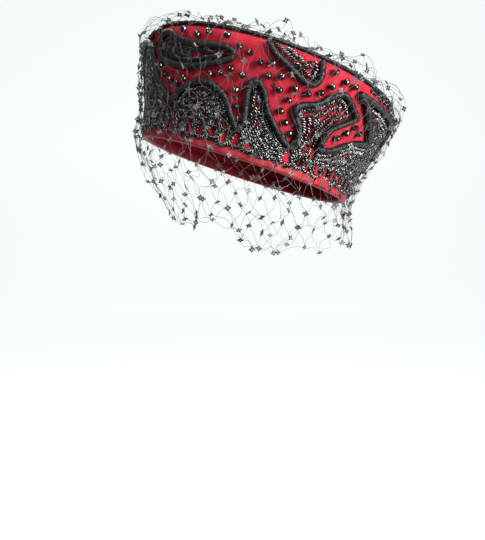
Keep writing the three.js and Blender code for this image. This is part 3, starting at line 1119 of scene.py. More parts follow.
def worn_places(points: Array, axes: Array, scale: Array | float = 1.0) -> Array:
    """Matrices that set a small piece at each point along given axes.

    Args:
        points: one row each, in the hat's upright frame, in mm.
        axes: for each point, the piece's X, Y and Z directions as rows.
        scale: size of each copy.

    Returns:
        A 4x4 matrix for each, in metres, as worn.
    """
    turn = np.array(FORM.worn.to_3x3())
    size = np.ones(len(points)) * scale
    made = np.zeros((len(points), 4, 4))
    made[:, :3, :3] = np.einsum("ij,nkj->nik", turn, axes) * size[:, None, None]
    made[:, :3, 3] = worn_points(points)
    made[:, 3, 3] = 1
    return made


def unit(vectors: Array) -> Array:
    """Vectors made one long."""
    return vectors / np.maximum(np.linalg.norm(vectors, axis=-1, keepdims=True), 1e-9)


def square_axes(first: Array, third: Array) -> Array:
    """Square axes for each place: X near the first direction, Z along the third, as rows."""
    second = unit(np.cross(third, first))
    return np.stack([np.cross(second, third), second, third], 1)


def wavered(line: Array, reach: float, phase: float) -> Array:
    """A flat line that wavers from side to side as hand-laid rope does.

    Args:
        line: flat points, a steady step apart.
        reach: how far it wavers, in mm.
        phase: where in a waver it starts, in radians.

    Returns:
        The wavering line.
    """
    ahead = unit(np.gradient(line, axis=0))
    aside = np.stack([-ahead[:, 1], ahead[:, 0]], 1)
    quick, slow = 1.45 * np.arange(len(line)), 0.53 * np.arange(len(line))
    wave = np.sin(quick + phase) + 0.5 * np.sin(slow + 2 * phase)
    return line + aside * (reach * wave)[:, None]


def stretches(line: Array, keep: Array) -> list[Array]:
    """The unbroken stretches of a line whose points are kept.

    Args:
        line: points in order.
        keep: True for each point that stays.

    Returns:
        Each stretch of three points or more.
    """
    fewest = 3
    edges = np.flatnonzero(np.diff(np.concatenate([[0], keep.astype(int), [0]])))
    return [line[a:b] for a, b in zip(edges[::2], edges[1::2]) if b - a >= fewest]


def resampled(line: Array, step: float) -> Array:
    """A line's points set a steady step apart.

    Args:
        line: points in order.
        step: mm from each to the next.

    Returns:
        The new points.
    """
    reach = np.concatenate([[0], np.cumsum(np.linalg.norm(np.diff(line, axis=0), axis=1))])
    count = max(2, int(round(reach[-1] / step)) + 1)
    at = np.linspace(0, reach[-1], count)
    return np.stack([np.interp(at, reach, line[:, k]) for k in range(line.shape[1])], 1)


# ---------------------------------------------------------------- felt and satin


@dataclass
class FeltBody:
    """The blocked felt: wall, corner and tip in one piece, hollow, open at the rim."""

    segments: int = 168
    wall_rings: int = 16
    corner_rings: int = 8
    tip_rings: int = 9
    dent: float = 0.28
    dent_from: float = 30.0
    mean_radius: float = 100.0
    edge_softness: float = 0.5

    def rings(self) -> list[Pair]:
        """Radius and height of each ring from the rim to the middle of the tip.

        Returns:
            The rings, in mm.
        """
        wall = np.linspace(0, FORM.wall_height, self.wall_rings)
        corner = np.linspace(FORM.wall_height, FORM.run_corner, self.corner_rings + 1)[1:]
        tip = np.linspace(FORM.run_corner, FORM.run_centre, self.tip_rings + 1)[1:]
        radii, heights = FORM.section(np.concatenate([wall, corner, tip]))
        return [(0 if r < 1e-6 else float(r), float(z)) for r, z in zip(radii, heights)]

    def soften(self, points: Array) -> Array:
        """Gives the wall the slight unevenness of hand-blocked felt.

        Args:
            points: the felt's points, in metres, upright.

        Returns:
            Where they go.
        """
        turn = np.arctan2(points[:, 0], -points[:, 1])
        height = points[:, 2] / MM
        wave = np.sin(3 * turn + 0.04 * height) + 0.6 * np.sin(7 * turn - 0.06 * height + 1)
        share = np.clip(height / self.dent_from, 0, 1)
        inward = 1 - self.dent / self.mean_radius * (0.9 + 0.5 * wave) * share
        return points * np.stack([inward, inward, np.ones(len(points))], 1)

    def build(self) -> bpy.types.Object:
        """Makes the felt.

        Returns:
            The felt.
        """
        obj = lathe_rings("felt", self.rings(), self.segments, closed=False)
        move_points(obj, self.soften)
        wall = obj.modifiers.new("thickness", "SOLIDIFY")
        wall.thickness = FORM.felt * MM
        wall.offset = -1
        wall.use_even_offset = True
        bevel = obj.modifiers.new("soft_edge", "BEVEL")
        bevel.width = self.edge_softness * MM
        bevel.segments = 2
        bevel.limit_method = "ANGLE"
        bevel.angle_limit = math.radians(50)
        apply_modifiers(obj)
        settle(obj, FORM.worn)
        bpy.ops.object.shade_smooth_by_angle(angle=math.radians(40))
        finish_piece(obj, Finish.FELT, ["felt_body"])
        return obj


@dataclass
class RimBinding:
    """The satin ribbon folded over the rim, and its turned-over end."""

    segments: int = 420
    outside: float = 7.5
    inside: float = 9.0
    near: float = 0.4
    thick: float = 0.9
    fold_depth: float = 0.62
    fold_rise: float = 0.3
    crease: float = 0.126
    tab_from: float = 37.0
    tab_to: float = 46.0
    tab_low: float = 0.4
    tab_high: float = 8.0
    tab_lift: float = 1.95
    tab_thick: float = 0.75
    tab_slant: float = 0.8
    tab_ripple: float = 0.22

    def side(self, run: float, lift: float) -> Pair:
        """Radius and height of a point off the felt's section."""
        point = FORM.above(np.array([90.0]), np.array([run]), lift)[0]
        return float(point[0]), float(point[2])

    def fold(self, reach: float, angles: Array) -> list[Pair]:
        """Points of the section where the ribbon turns under the rim.

        Args:
            reach: mm from the middle of the felt's edge.
            angles: how far round the fold each point is, in radians.

        Returns:
            Radius and height of each, in mm.
        """
        centre = FORM.rim_half_width - FORM.felt / 2
        across = centre + reach * np.cos(angles)
        up = self.fold_rise - reach * np.sin(angles) * self.fold_depth
        return [(float(r), float(z)) for r, z in zip(across, up)]

    def profile(self) -> list[Pair]:
        """The ribbon's closed section, from its outer edge round the rim to its inner edge.

        Returns:
            Radius and height of each corner, in mm.
        """
        far = self.near + self.thick
        angles = np.linspace(0, math.pi, 7)
        bottom = self.fold(FORM.felt / 2 + far, angles)
        top = self.fold(FORM.felt / 2 + self.near, angles[::-1])
        outer = [self.side(run, far) for run in (self.outside - 0.3, 5.6, 3.4, 1.4)]
        inner_far = [self.side(run, -FORM.felt - far) for run in (1.6, 4.5, self.inside - 0.3)]
        inner_near = [self.side(run, -FORM.felt - self.near) for run in (self.inside, 4.5, 1.6)]
        outer_near = [self.side(run, self.near) for run in (1.4, 3.4, 5.6, self.outside)]
        return [*outer, *bottom, *inner_far, *inner_near, *top, *outer_near]

    def pulled(self, points: Array) -> Array:
        """Gives the ribbon its small slanting creases.

        Args:
            points: the ribbon's points, in metres, upright.

        Returns:
            Where they go.
        """
        turn = np.degrees(np.arctan2(points[:, 0], -points[:, 1]))
        height = points[:, 2] / MM
        slant = turn + 0.9 * height
        wave = np.sin(slant * 0.9) + 0.7 * np.sin(slant * 1.7 + 2) + 0.5 * np.sin(slant * 3.1)
        share = np.clip(1 - np.abs(height - 3.5) / 7, 0, 1)
        scale = 1 + self.crease / FORM.rim_half_width * wave * share
        return points * np.stack([scale, scale, np.ones(len(points))], 1)

    def tab(self) -> bpy.types.Object:
        """Makes the ribbon's turned-over end.

        Returns:
            The end.
        """
        clear_selection()
        bpy.ops.mesh.primitive_grid_add(x_subdivisions=18, y_subdivisions=12, size=1)
        obj = take_new("satin_end")
        move_points(obj, self.wrapped)
        wall = obj.modifiers.new("thickness", "SOLIDIFY")
        wall.thickness = self.tab_thick * MM
        wall.offset = 1
        bevel = obj.modifiers.new("fold", "BEVEL")
        bevel.width = 0.3 * MM
        bevel.segments = 2
        bevel.limit_method = "ANGLE"
        apply_modifiers(obj)
        settle(obj, FORM.worn)
        bpy.ops.object.shade_smooth_by_angle(angle=math.radians(50))
        return obj

    def wrapped(self, points: Array) -> Array:
        """Lays a flat unit grid over the binding.

        Args:
            points: the grid's points, from -0.5 to 0.5.

        Returns:
            Where they go, in metres.
        """
        across, up = points[:, 0] + 0.5, points[:, 1] + 0.5
        bearing = self.tab_from + (self.tab_to - self.tab_from) * across
        bearing = bearing + self.tab_slant * (up - 0.5)
        run = self.tab_low + (self.tab_high - self.tab_low) * up
        ripple = self.tab_ripple * np.sin(9 * across + 5 * up) * np.sin(np.pi * across)
        return FORM.above(bearing, run, self.tab_lift + ripple) * MM

    def build(self) -> list[bpy.types.Object]:
        """Makes the binding and its end.

        Returns:
            The two.
        """
        obj = lathe_rings("satin_binding", self.profile(), self.segments, closed=True)
        move_points(obj, self.pulled)
        settle(obj, FORM.worn)
        bpy.ops.object.shade_smooth()
        finish_piece(obj, Finish.SATIN, ["rim_binding"])
        end = self.tab()
        finish_piece(end, Finish.SATIN, ["binding_tab"])
        return [obj, end]


# ---------------------------------------------------------------- couched cords


@dataclass
class CordMaker:
    """Makes round cords that lie over the felt."""

    radius: float
    sides: int = 12
    step: float = 1.3
    lump: float = 0.05
    gap: float = 0.4
    pattern_shift: float = 97.0

    def centreline(self, flat: Array) -> Array:
        """The cord's centre over a flat line, in mm."""
        line = resampled(flat, self.step)
        return FORM.raised(line, self.radius + self.gap)

    def sweep(self, name: str, lines: list[Array]) -> bpy.types.Object:
        """Sweeps one mesh along several lines.

        Args:
            name: the object's name.
            lines: the flat lines, each made one cord.

        Returns:
            The mesh, with a UV map of mm along and mm round each cord.
        """
        centres = [worn_points(self.centreline(flat)) for flat in lines]
        swells, walks = [], []
        for k, points in enumerate(centres):
            n = np.arange(len(points))
            wave = 0.6 * np.sin(n * 0.83 + k) + 0.4 * np.sin(n * 2.1 + 2 * k)
            swells.append(1 + self.lump * wave)
            steps = np.linalg.norm(np.diff(points, axis=0), axis=1) / MM
            walks.append(np.concatenate([[0], np.cumsum(steps)]) + self.pattern_shift * k)
        obj = swept_tubes(name, centres, self.radius, max(0, self.sides // 4 - 1), swells)
        self.unwrap(obj, np.concatenate(walks))
        bpy.ops.object.shade_smooth_by_angle(angle=math.radians(50))
        return obj

    def unwrap(self, obj: bpy.types.Object, along: Array) -> None:
        """Gives a swept mesh its UV map.

        Args:
            obj: the mesh.
            along: mm along the cord at each of its rings.
        """
        mesh = obj.data
        ring = len(mesh.vertices) // len(along)
        loops = np.empty(len(mesh.loops), int)
        mesh.loops.foreach_get("vertex_index", loops)
        around = (loops % ring) / ring
        distance = along[np.minimum(loops // ring, len(along) - 1)]
        starts = np.empty(len(mesh.polygons), int)
        sizes = np.empty(len(mesh.polygons), int)
        mesh.polygons.foreach_get("loop_start", starts)
        mesh.polygons.foreach_get("loop_total", sizes)
        quads = starts[sizes == 4][:, None] + np.arange(4)
        wraps = np.ptp(around[quads], axis=1) > 0.5
        low = quads[wraps]
        around[low] = np.where(around[low] < 0.5, around[low] + 1, around[low])
        uv = mesh.uv_layers.get("cord") or mesh.uv_layers.new(name="cord")
        girth = 2 * math.pi * self.radius
        uv.data.foreach_set("uv", np.stack([distance, around * girth], 1).ravel())
        for other in [layer for layer in mesh.uv_layers if layer.name != "cord"]:
            mesh.uv_layers.remove(other)


def turned(lines: list[Array]) -> list[Array]:
    """Flat lines with their copies half a turn round the hat."""
    return [line + (x, 0) for x in (0.0, FORM.half) for line in lines]


@dataclass
class CordTrim:
    """The rouleau scroll, leaves, points, edge cord and the ring on the tip."""

    edge_radius: float = 1.6
    edge_run: float = 79.0
    edge_gap: float = -0.4
    edge_points: int = 160
    seam: float = 0.35

    def scroll(self) -> list[Array]:
        """The scroll's strokes and its closed shapes, one half."""
        strokes = [s for strokes in DRAWING.motifs.values() for s in strokes]
        return [*strokes, DRAWING.leaf, DRAWING.vee]

    def edge(self, start: float, end: float) -> Array:
        """The edge cord's flat line between two bearings.

        Args:
            start: the first bearing, in degrees.
            end: the last one.

        Returns:
            The flat line.
        """
        bearing = np.linspace(start + self.seam, end - self.seam, self.edge_points)
        run = np.full(self.edge_points, self.edge_run)
        return np.stack([bearing * FORM.mm_per_degree, run], 1)

    def build(self) -> list[bpy.types.Object]:
        """Makes every cord.

        Returns:
            The scroll, the ring on the tip and the edge cord.
        """
        maker = CordMaker(DRAWING.rouleau_radius)
        scroll = maker.sweep("rouleau_scroll", turned(self.scroll()))
        finish_piece(scroll, Finish.ROULEAU, nodes_named("rouleau_"))
        ring = DRAWING.medallion(-90 + self.seam, 90 - self.seam, 240)
        tip = maker.sweep("rouleau_tip", turned([ring]))
        finish_piece(tip, Finish.ROULEAU, nodes_named("tip_rouleau"))
        edge = CordMaker(self.edge_radius, sides=8, step=1.1, lump=0.14, gap=self.edge_gap)
        cord = edge.sweep("edge_braid", turned([self.edge(-90, 90)]))
        finish_piece(cord, Finish.ROULEAU, nodes_named("edge_cord"))
        return [scroll, tip, cord]


# ---------------------------------------------------------------- beads


class Laying(Enum):
    """How the rope lies in the middle of a patch of beadwork."""

    CURLS = "curls"
    NESTED = "nested"


@dataclass(frozen=True)
class Loop:
    """Size of the loops in a row of curls, in mm."""

    pitch: float
    width: float
    height: float


@dataclass(frozen=True)
class RopePatch:
    """How one motif is filled.

    The first rows follow the cords, and the middle is curls or more such rows.
    """

    laying: Laying
    step: float
    waver: float = 0.0
    rows: int = 1
    curl_step: float = 5.2

    @property
    def count(self) -> int:
        """How many rows follow the cords at most."""
        return self.rows if self.laying is Laying.CURLS else 12


@dataclass
class BeadRope:
    """Rope of small bugle beads, couched over each patch of beadwork."""

    # The bead: a barrel with a nose at each end, as shares of its length and width.
    bead_length: float = 4.2
    bead_width: float = 1.5
    barrel: float = 0.62
    nose: float = 0.55
    # How the beads are strung: mm apart, degrees across the rope, and how they vary.
    pitch: float = 1.85
    twist: float = 54.0
    twist_spread: float = 14.0
    nose_up: float = 0.24
    size_spread: float = 0.09
    # How far the rope lies off the felt, and over the satin.
    lift: float = 1.35
    heave: float = 0.35
    unevenness: float = 0.12
    over_satin: float = 1.0
    satin_run: float = 9.5
    satin_band: float = 2.5
    # Curls in the patches, and larger loops along their lower edge.
    loop: Loop = Loop(8.2, 2.9, 3.3)
    hem_loop: Loop = Loop(10.6, 4.0, 4.9)
    curl_turn: float = 0.12
    curl_wobble: float = 0.18
    curl_drift: float = 0.7
    hem_run: float = 10.4
    hem_band: float = 8.0
    hem_floor: float = 4.4
    # Rows within a patch: from the cords, from each other, and where it is still bare.
    border: float = 4.1
    clear: float = 3.6
    bare: float = 2.9
    gap_step: float = 4.0
    under_step: float = 6.2
    most_rows: int = 20
    # Rows beside the top edge, between bearings and clear of the jet beads.
    edge_bearings: Pair = (44.0, 128.0)
    edge_run: float = 74.1
    edge_waver: float = 0.9
    edge_rows: int = 7
    edge_step: float = 3.3
    fill_bearings: Pair = (51.0, 124.0)
    jet_gap: float = 4.2
    fill_gap: float = 3.5
    # Rows on the tip, between its edge and the ring.
    tip_gap: float = 2.2
    ring_gap: float = 4.6
    tip_shares: Pair = (0.27, 0.74)
    tip_curl_turn: float = 0.16
    patches: dict[str, RopePatch] = field(
        default_factory=lambda: {
            "arch": RopePatch(Laying.CURLS, 3.2, curl_step=4.5),
            "peak": RopePatch(Laying.NESTED, 3.2, 0.25),
            "shield": RopePatch(Laying.NESTED, 4.1, 0.75),
            "side": RopePatch(Laying.CURLS, 3.1, 0.3, 2, 4.4),
            "flank": RopePatch(Laying.CURLS, 3.1, 0.3, 2, 4.4),
            "leaf": RopePatch(Laying.CURLS, 3.2, 0.2, 2, 4.2),
            "vee": RopePatch(Laying.NESTED, 3.6, 0.4),
        }
    )

    def bugle(self) -> bpy.types.Object:
        """One bugle bead along X, with rounded ends.

        Returns:
            The bead.
        """
        clear_selection()
        bpy.ops.mesh.primitive_cylinder_add(
            vertices=6,
            radius=self.bead_width / 2 * MM,
            depth=self.bead_length * self.barrel * MM,
            rotation=(0, math.pi / 2, 0),
        )
        obj = take_new("bugle")
        settle(obj)
        nose_length = self.bead_length * (1 - self.barrel) / 2 * MM
        bpy.ops.object.mode_set(mode="EDIT")
        for side in (-1, 1):
            bpy.ops.mesh.select_all(action="DESELECT")
            bpy.ops.object.mode_set(mode="OBJECT")
            for face in obj.data.polygons:
                face.select = face.normal.x * side > 0.9
            bpy.ops.object.mode_set(mode="EDIT")
            bpy.ops.mesh.extrude_region_move(
                TRANSFORM_OT_translate={"value": (side * nose_length, 0, 0)}
            )
            bpy.ops.transform.resize(
                value=(1, self.nose, self.nose),
                center_override=(side * self.bead_length / 2 * MM, 0, 0),
            )
        bpy.ops.object.mode_set(mode="OBJECT")
        return obj

    def curls(self, low: float, high: float, run: float, loop: Loop, phase: float) -> Array:
        """A row of looping curls between two flat positions.

        Args:
            low: where the row starts, mm round the hat.
            high: where it ends.
            run: mm up the felt at the row's middle.
            loop: the loops' size.
            phase: where in a loop the row starts, in radians.

        Returns:
            The row's flat line.
        """
        turns = (high - low) / loop.pitch * 2 * math.pi
        t = np.arange(0, turns, self.curl_turn)
        wobble = 1 + self.curl_wobble * np.sin(t * 0.37 + phase * 3)
        drift = self.curl_drift * np.sin(t * 0.21 + phase)
        x = low + t * loop.pitch / (2 * math.pi) - loop.width * np.sin(t + phase)
        y = run + loop.height * wobble * np.cos(t + phase) + drift
        return np.stack([x, y], 1)

    def curl_rows(self, outline: Array, start: float, step: float, count: int) -> list[Array]:
        """Rows of curls across an outline, not yet cut to it.

        Args:
            outline: the patch's outline.
            start: the first row's run.
            step: mm from each row to the next.
            count: the most rows there can be.

        Returns:
            The rows' flat lines.
        """
        low, high = outline.min(0), outline.max(0)
        found = []
        for k in range(count):
            run = start + step * k
            if run > high[1] + 1:
                break
            found.append(self.curls(low[0] - 4, high[0] + 4, run, self.loop, 1.9 * k + low[0]))
        return found

    def hem_row(self, outline: Array) -> Array:
        """The row of larger loops along a patch's lower edge."""
        low, high = outline[:, 0].min(), outline[:, 0].max()
        return self.curls(low, high, self.hem_run, self.hem_loop, 0.4 * low)

    def nested_rows(self, strokes: list[Array], patch: RopePatch) -> list[Array]:
        """Rows that follow the inside of the cords, one within the other.

        Args:
            strokes: the motif's strokes.
            patch: how it is filled.

        Returns:
            The rows' flat lines.
        """
        found: list[Array] = []
        for k in range(patch.count):
            distance = self.border + patch.step * k
            line = DRAWING.besides(strokes, distance)
            if len(line) < 4:
                break
            gaps = np.flatnonzero(np.linalg.norm(np.diff(line, axis=0), axis=1) > 6)
            for part in np.split(line, gaps + 1):
                part = resampled(part, self.pitch)
                found.append(wavered(part, patch.waver, distance) if k else part)
        return found

    def cut(self, line: Array, outline: Array, clear: float) -> list[Array]:
        """The stretches of a line that keep inside an outline and clear of the cords.

        Args:
            line: a flat line.
            outline: the patch's outline.
            clear: the least mm between the line and any cord.

        Returns:
            The stretches.
        """
        line = resampled(line, self.pitch)
        near = outline.copy()
        near[near[:, 1] < DRAWING.scallop_run + 0.5, 1] = self.hem_floor
        return stretches(line, inside(line, near) & (DRAWING.clearance(line) > clear))

    def gaps(self, outline: Array, laid: list[Array]) -> list[Array]:
        """Short curls for the bare places that the other rows leave.

        Args:
            outline: the patch's outline.
            laid: the stretches already laid in it.

        Returns:
            More stretches.
        """
        start = self.hem_run + self.hem_band
        rows = self.curl_rows(outline, start, self.gap_step, self.most_rows)
        taken = np.vstack(laid)
        found: list[Array] = []
        for row in rows:
            for line in self.cut(row, outline, self.clear):
                near = np.linalg.norm(line[:, None] - taken[None], axis=2).min(1)
                fresh = stretches(line, near > self.bare)
                found += fresh
                taken = np.vstack([taken, *fresh])
        return found

    def wall_lines(self) -> list[Array]:
        """Every stretch of bead-rope on one half of the wall.

        Returns:
            The stretches' flat lines.
        """
        found: list[Array] = []
        shapes = {**DRAWING.motifs, "leaf": [DRAWING.leaf], "vee": [DRAWING.vee]}
        for name, strokes in shapes.items():
            outline, patch = DRAWING.outlines[name], self.patches[name]
            low = outline[:, 1].min() + 4
            start = self.hem_run + self.hem_band if name in DRAWING.motifs else low
            laid: list[Array] = []
            for row in self.nested_rows(strokes, patch):
                laid += self.cut(row, outline, self.clear)
            if name in DRAWING.motifs:
                laid += self.cut(self.hem_row(outline), outline, self.clear)
            if patch.laying is Laying.CURLS:
                clear = self.border + patch.step * (patch.rows - 1) + 2.2
                for row in self.curl_rows(outline, start, patch.curl_step, self.most_rows):
                    laid += self.cut(row, outline, clear)
            elif name in DRAWING.motifs:
                for row in self.curl_rows(outline, start, self.under_step, 1):
                    laid += self.cut(row, outline, self.clear)
            found += laid + self.gaps(outline, laid)
        return found + self.edge_lines()

    def edge_lines(self) -> list[Array]:
        """Wavering rows between the top edge and the motifs, clear of the jet beads.

        Returns:
            The rows' flat lines.
        """
        shifts = (-FORM.half, 0, FORM.half)
        spots = np.vstack([DRAWING.jet_spots + (x, 0) for x in shifts])
        found: list[Array] = []
        for k in range(-2, self.edge_rows):
            ends = self.edge_bearings if k == 0 else self.fill_bearings
            run = self.edge_run - self.edge_step * k
            low, high = (bearing * FORM.mm_per_degree for bearing in ends)
            level = np.array([(low, run), (high, run)])
            line = wavered(resampled(level, self.pitch), self.edge_waver, 1.7 * k)
            gap = self.jet_gap if k == 0 else self.fill_gap
            far = np.linalg.norm(line[:, None] - spots[None], axis=2).min(1) > gap
            far &= DRAWING.clearance(line) > self.clear
            for outline in DRAWING.outlines.values():
                for x in shifts:
                    far &= ~inside(line, outline + (x, 0))
            found += stretches(line, far)
        return found

    def tip_lines(self) -> list[Array]:
        """Every stretch of bead-rope on half of the tip.

        Returns:
            The stretches' flat lines.
        """
        found: list[Array] = []
        ring = DRAWING.medallion(-90, 90, 360)
        edge = FORM.run_corner + self.tip_gap
        valley = DRAWING.medallion_run - DRAWING.medallion_depth
        bearing = ring[:, 0] / FORM.mm_per_degree
        for share in (0.0, 1.0):
            top = ring[:, 1] - self.ring_gap
            found.append(np.stack([ring[:, 0], edge + (top - edge) * share], 1))
        for k, share in enumerate(self.tip_shares):
            radius = FORM.run_centre - (edge + (valley - edge) * share)
            turns = math.pi * radius / self.loop.pitch * 2 * math.pi
            t = np.arange(0, turns, self.tip_curl_turn)
            at = -90 + 180 * t / turns
            top = np.interp(at, bearing, ring[:, 1]) - self.ring_gap
            base = edge + (top - edge) * share
            reach = np.clip((top - edge) * 0.24, 1.6, 4.2)
            x = at - np.degrees(self.loop.width * np.sin(t) / radius)
            y = base + reach * np.cos(t + k)
            found.append(np.stack([x * FORM.mm_per_degree, y], 1))
        return found

    def strung(self, name: str, lines: list[Array], nodes: list[str]) -> bpy.types.Object:
        """Sets bugles along flat lines as one mesh.

        Args:
            name: the object's name.
            lines: flat lines.
            nodes: the CAD nodes that the beads stand for.

        Returns:
            The beads.
        """
        centres, axes = [], []
        for k, line in enumerate(lines):
            count = len(resampled(FORM.raised(line, 0.0), self.pitch))
            flat_length = np.linalg.norm(np.diff(line, axis=0), axis=1).sum()
            flat = resampled(line, flat_length / (count - 1))[:count]
            n = np.arange(len(flat)) + 31.0 * k
            up = FORM.normal(flat[:, 0] / FORM.mm_per_degree, flat[:, 1])
            ahead = unit(np.gradient(FORM.raised(flat, 0.0), axis=0))
            across = unit(np.cross(up, ahead))
            tilt = np.radians(self.twist + self.twist_spread * scatter(n))
            first = unit(
                ahead * np.cos(tilt)[:, None]
                + across * np.sin(tilt)[:, None]
                + up * (self.nose_up * scatter(n + 0.4))[:, None]
            )
            second = unit(np.cross(up, first))
            third = np.cross(first, second)
            lift = self.lift + self.heave * np.sin(n * 0.31) + self.unevenness * scatter(n + 0.7)
            on_satin = np.clip((self.satin_run - flat[:, 1]) / self.satin_band, 0, 1)
            lift += self.over_satin * on_satin
            centres.append(FORM.raised(flat, lift))
            axes.append(np.stack([first, second, third], 1))
        points, turns = np.vstack(centres), np.vstack(axes)
        sizes = 1 + self.size_spread * scatter(np.arange(len(points)) + 0.5)
        places = worn_places(points, turns, sizes)
        obj = joined_copies(name, self.bugle(), places, smooth=True)
        finish_piece(obj, Finish.BEAD, nodes)
        return obj

    def build(self) -> list[bpy.types.Object]:
        """Makes the beadwork of the front, the back and the tip.

        Returns:
            The three.
        """
        lines, made = self.wall_lines(), []
        for side, x in (("front", 0.0), ("back", FORM.half)):
            nodes = [node for node in nodes_named("beadwork_") if node.endswith(side)]
            made.append(self.strung(f"bead_rope_{side}", [line + (x, 0) for line in lines], nodes))
        tip = turned(self.tip_lines())
        return [*made, self.strung("bead_rope_tip", tip, nodes_named("tip_beadwork"))]


@dataclass
class JetBeads:
    """Round faceted jet beads on the bare felt."""

    radius: float = 2.45
    gap: float = 0.4
    flatten: float = 0.92
    lean: float = 0.5
    size_spread: float = 0.05
    tip_rows: tuple[tuple[float, int], ...] = ((136.0, 12), (160.0, 6))

    def bead(self) -> bpy.types.Object:
        """One faceted bead about the origin, flattened along Z; it has no thread hole.

        Returns:
            The bead.
        """
        clear_selection()
        bpy.ops.mesh.primitive_uv_sphere_add(segments=12, ring_count=9, radius=self.radius * MM)
        obj = take_new("jet_bead")
        bpy.ops.object.mode_set(mode="EDIT")
        bpy.ops.mesh.select_all(action="SELECT")
        bpy.ops.transform.resize(value=(1, 1, self.flatten), center_override=(0, 0, 0))
        bpy.ops.object.mode_set(mode="OBJECT")
        return obj

    def places(self, flat: Array) -> Array:
        """Sets a bead on each flat position, each turned and leaning its own way.

        Args:
            flat: the beads' positions on the flat drawing.

        Returns:
            A matrix for each bead, in metres, as worn.
        """
        n = np.arange(len(flat), dtype=float)
        up = FORM.normal(flat[:, 0] / FORM.mm_per_degree, flat[:, 1])
        side = unit(np.cross(up, np.array([0.0, 0.0, 1.0]) + 0.01))
        turn = np.pi * scatter(n)[:, None]
        first = side * np.cos(turn) + np.cross(up, side) * np.sin(turn)
        third = unit(up + self.lean * scatter(n + 0.2)[:, None] * first)
        points = FORM.raised(flat, self.radius + self.gap)
        sizes = 1 + self.size_spread * scatter(n + 0.9)
        return worn_places(points, square_axes(first, third), sizes)

    def build(self) -> list[bpy.types.Object]:
        """Makes the jet beads of the wall and of the tip.

        Returns:
            The two meshes of beads.
        """
        wall = np.vstack(turned([DRAWING.jet_spots]))
        tip = np.vstack([
            np.stack([360 * np.arange(count) / count * FORM.mm_per_degree, np.full(count, run)], 1)
            for run, count in self.tip_rows
        ])
        made = []
        for name, flat, start in (("jets_wall", wall, "jets_"), ("jets_tip", tip, "tip_jets")):
            obj = joined_copies(name, self.bead(), self.places(flat), smooth=False)
            finish_piece(obj, Finish.JET, nodes_named(start))
            made.append(obj)
        return made


# ---------------------------------------------------------------- the veil


@dataclass(frozen=True)
class FallRow:
    """How far the veil hangs below the rim at a bearing."""

    bearing: float
    length: float


@dataclass(frozen=True)
class Puff:
    """Where the net stands up from the top edge: its bearing, spread and height."""

    bearing: float
    spread: float
    height: float


@dataclass(frozen=True)
class Ripple:
    """A wave in the net.

    It has a height in mm, a number of waves round the hat, radians for each mm down, a
    start in radians, and the radians by which the inner layer's is shifted.
    """

    height: float
    waves: float
    slope: float
    start: float = 0.0
    shift: float = 0.0

    def at(self, bearing: Array, down: Array, layer: int = 0) -> Array:
        """How far the wave lifts a layer at each place, in mm."""
        angle = self.waves * np.radians(bearing) + self.slope * down + self.start
        return self.height * np.sin(angle + self.shift * layer)


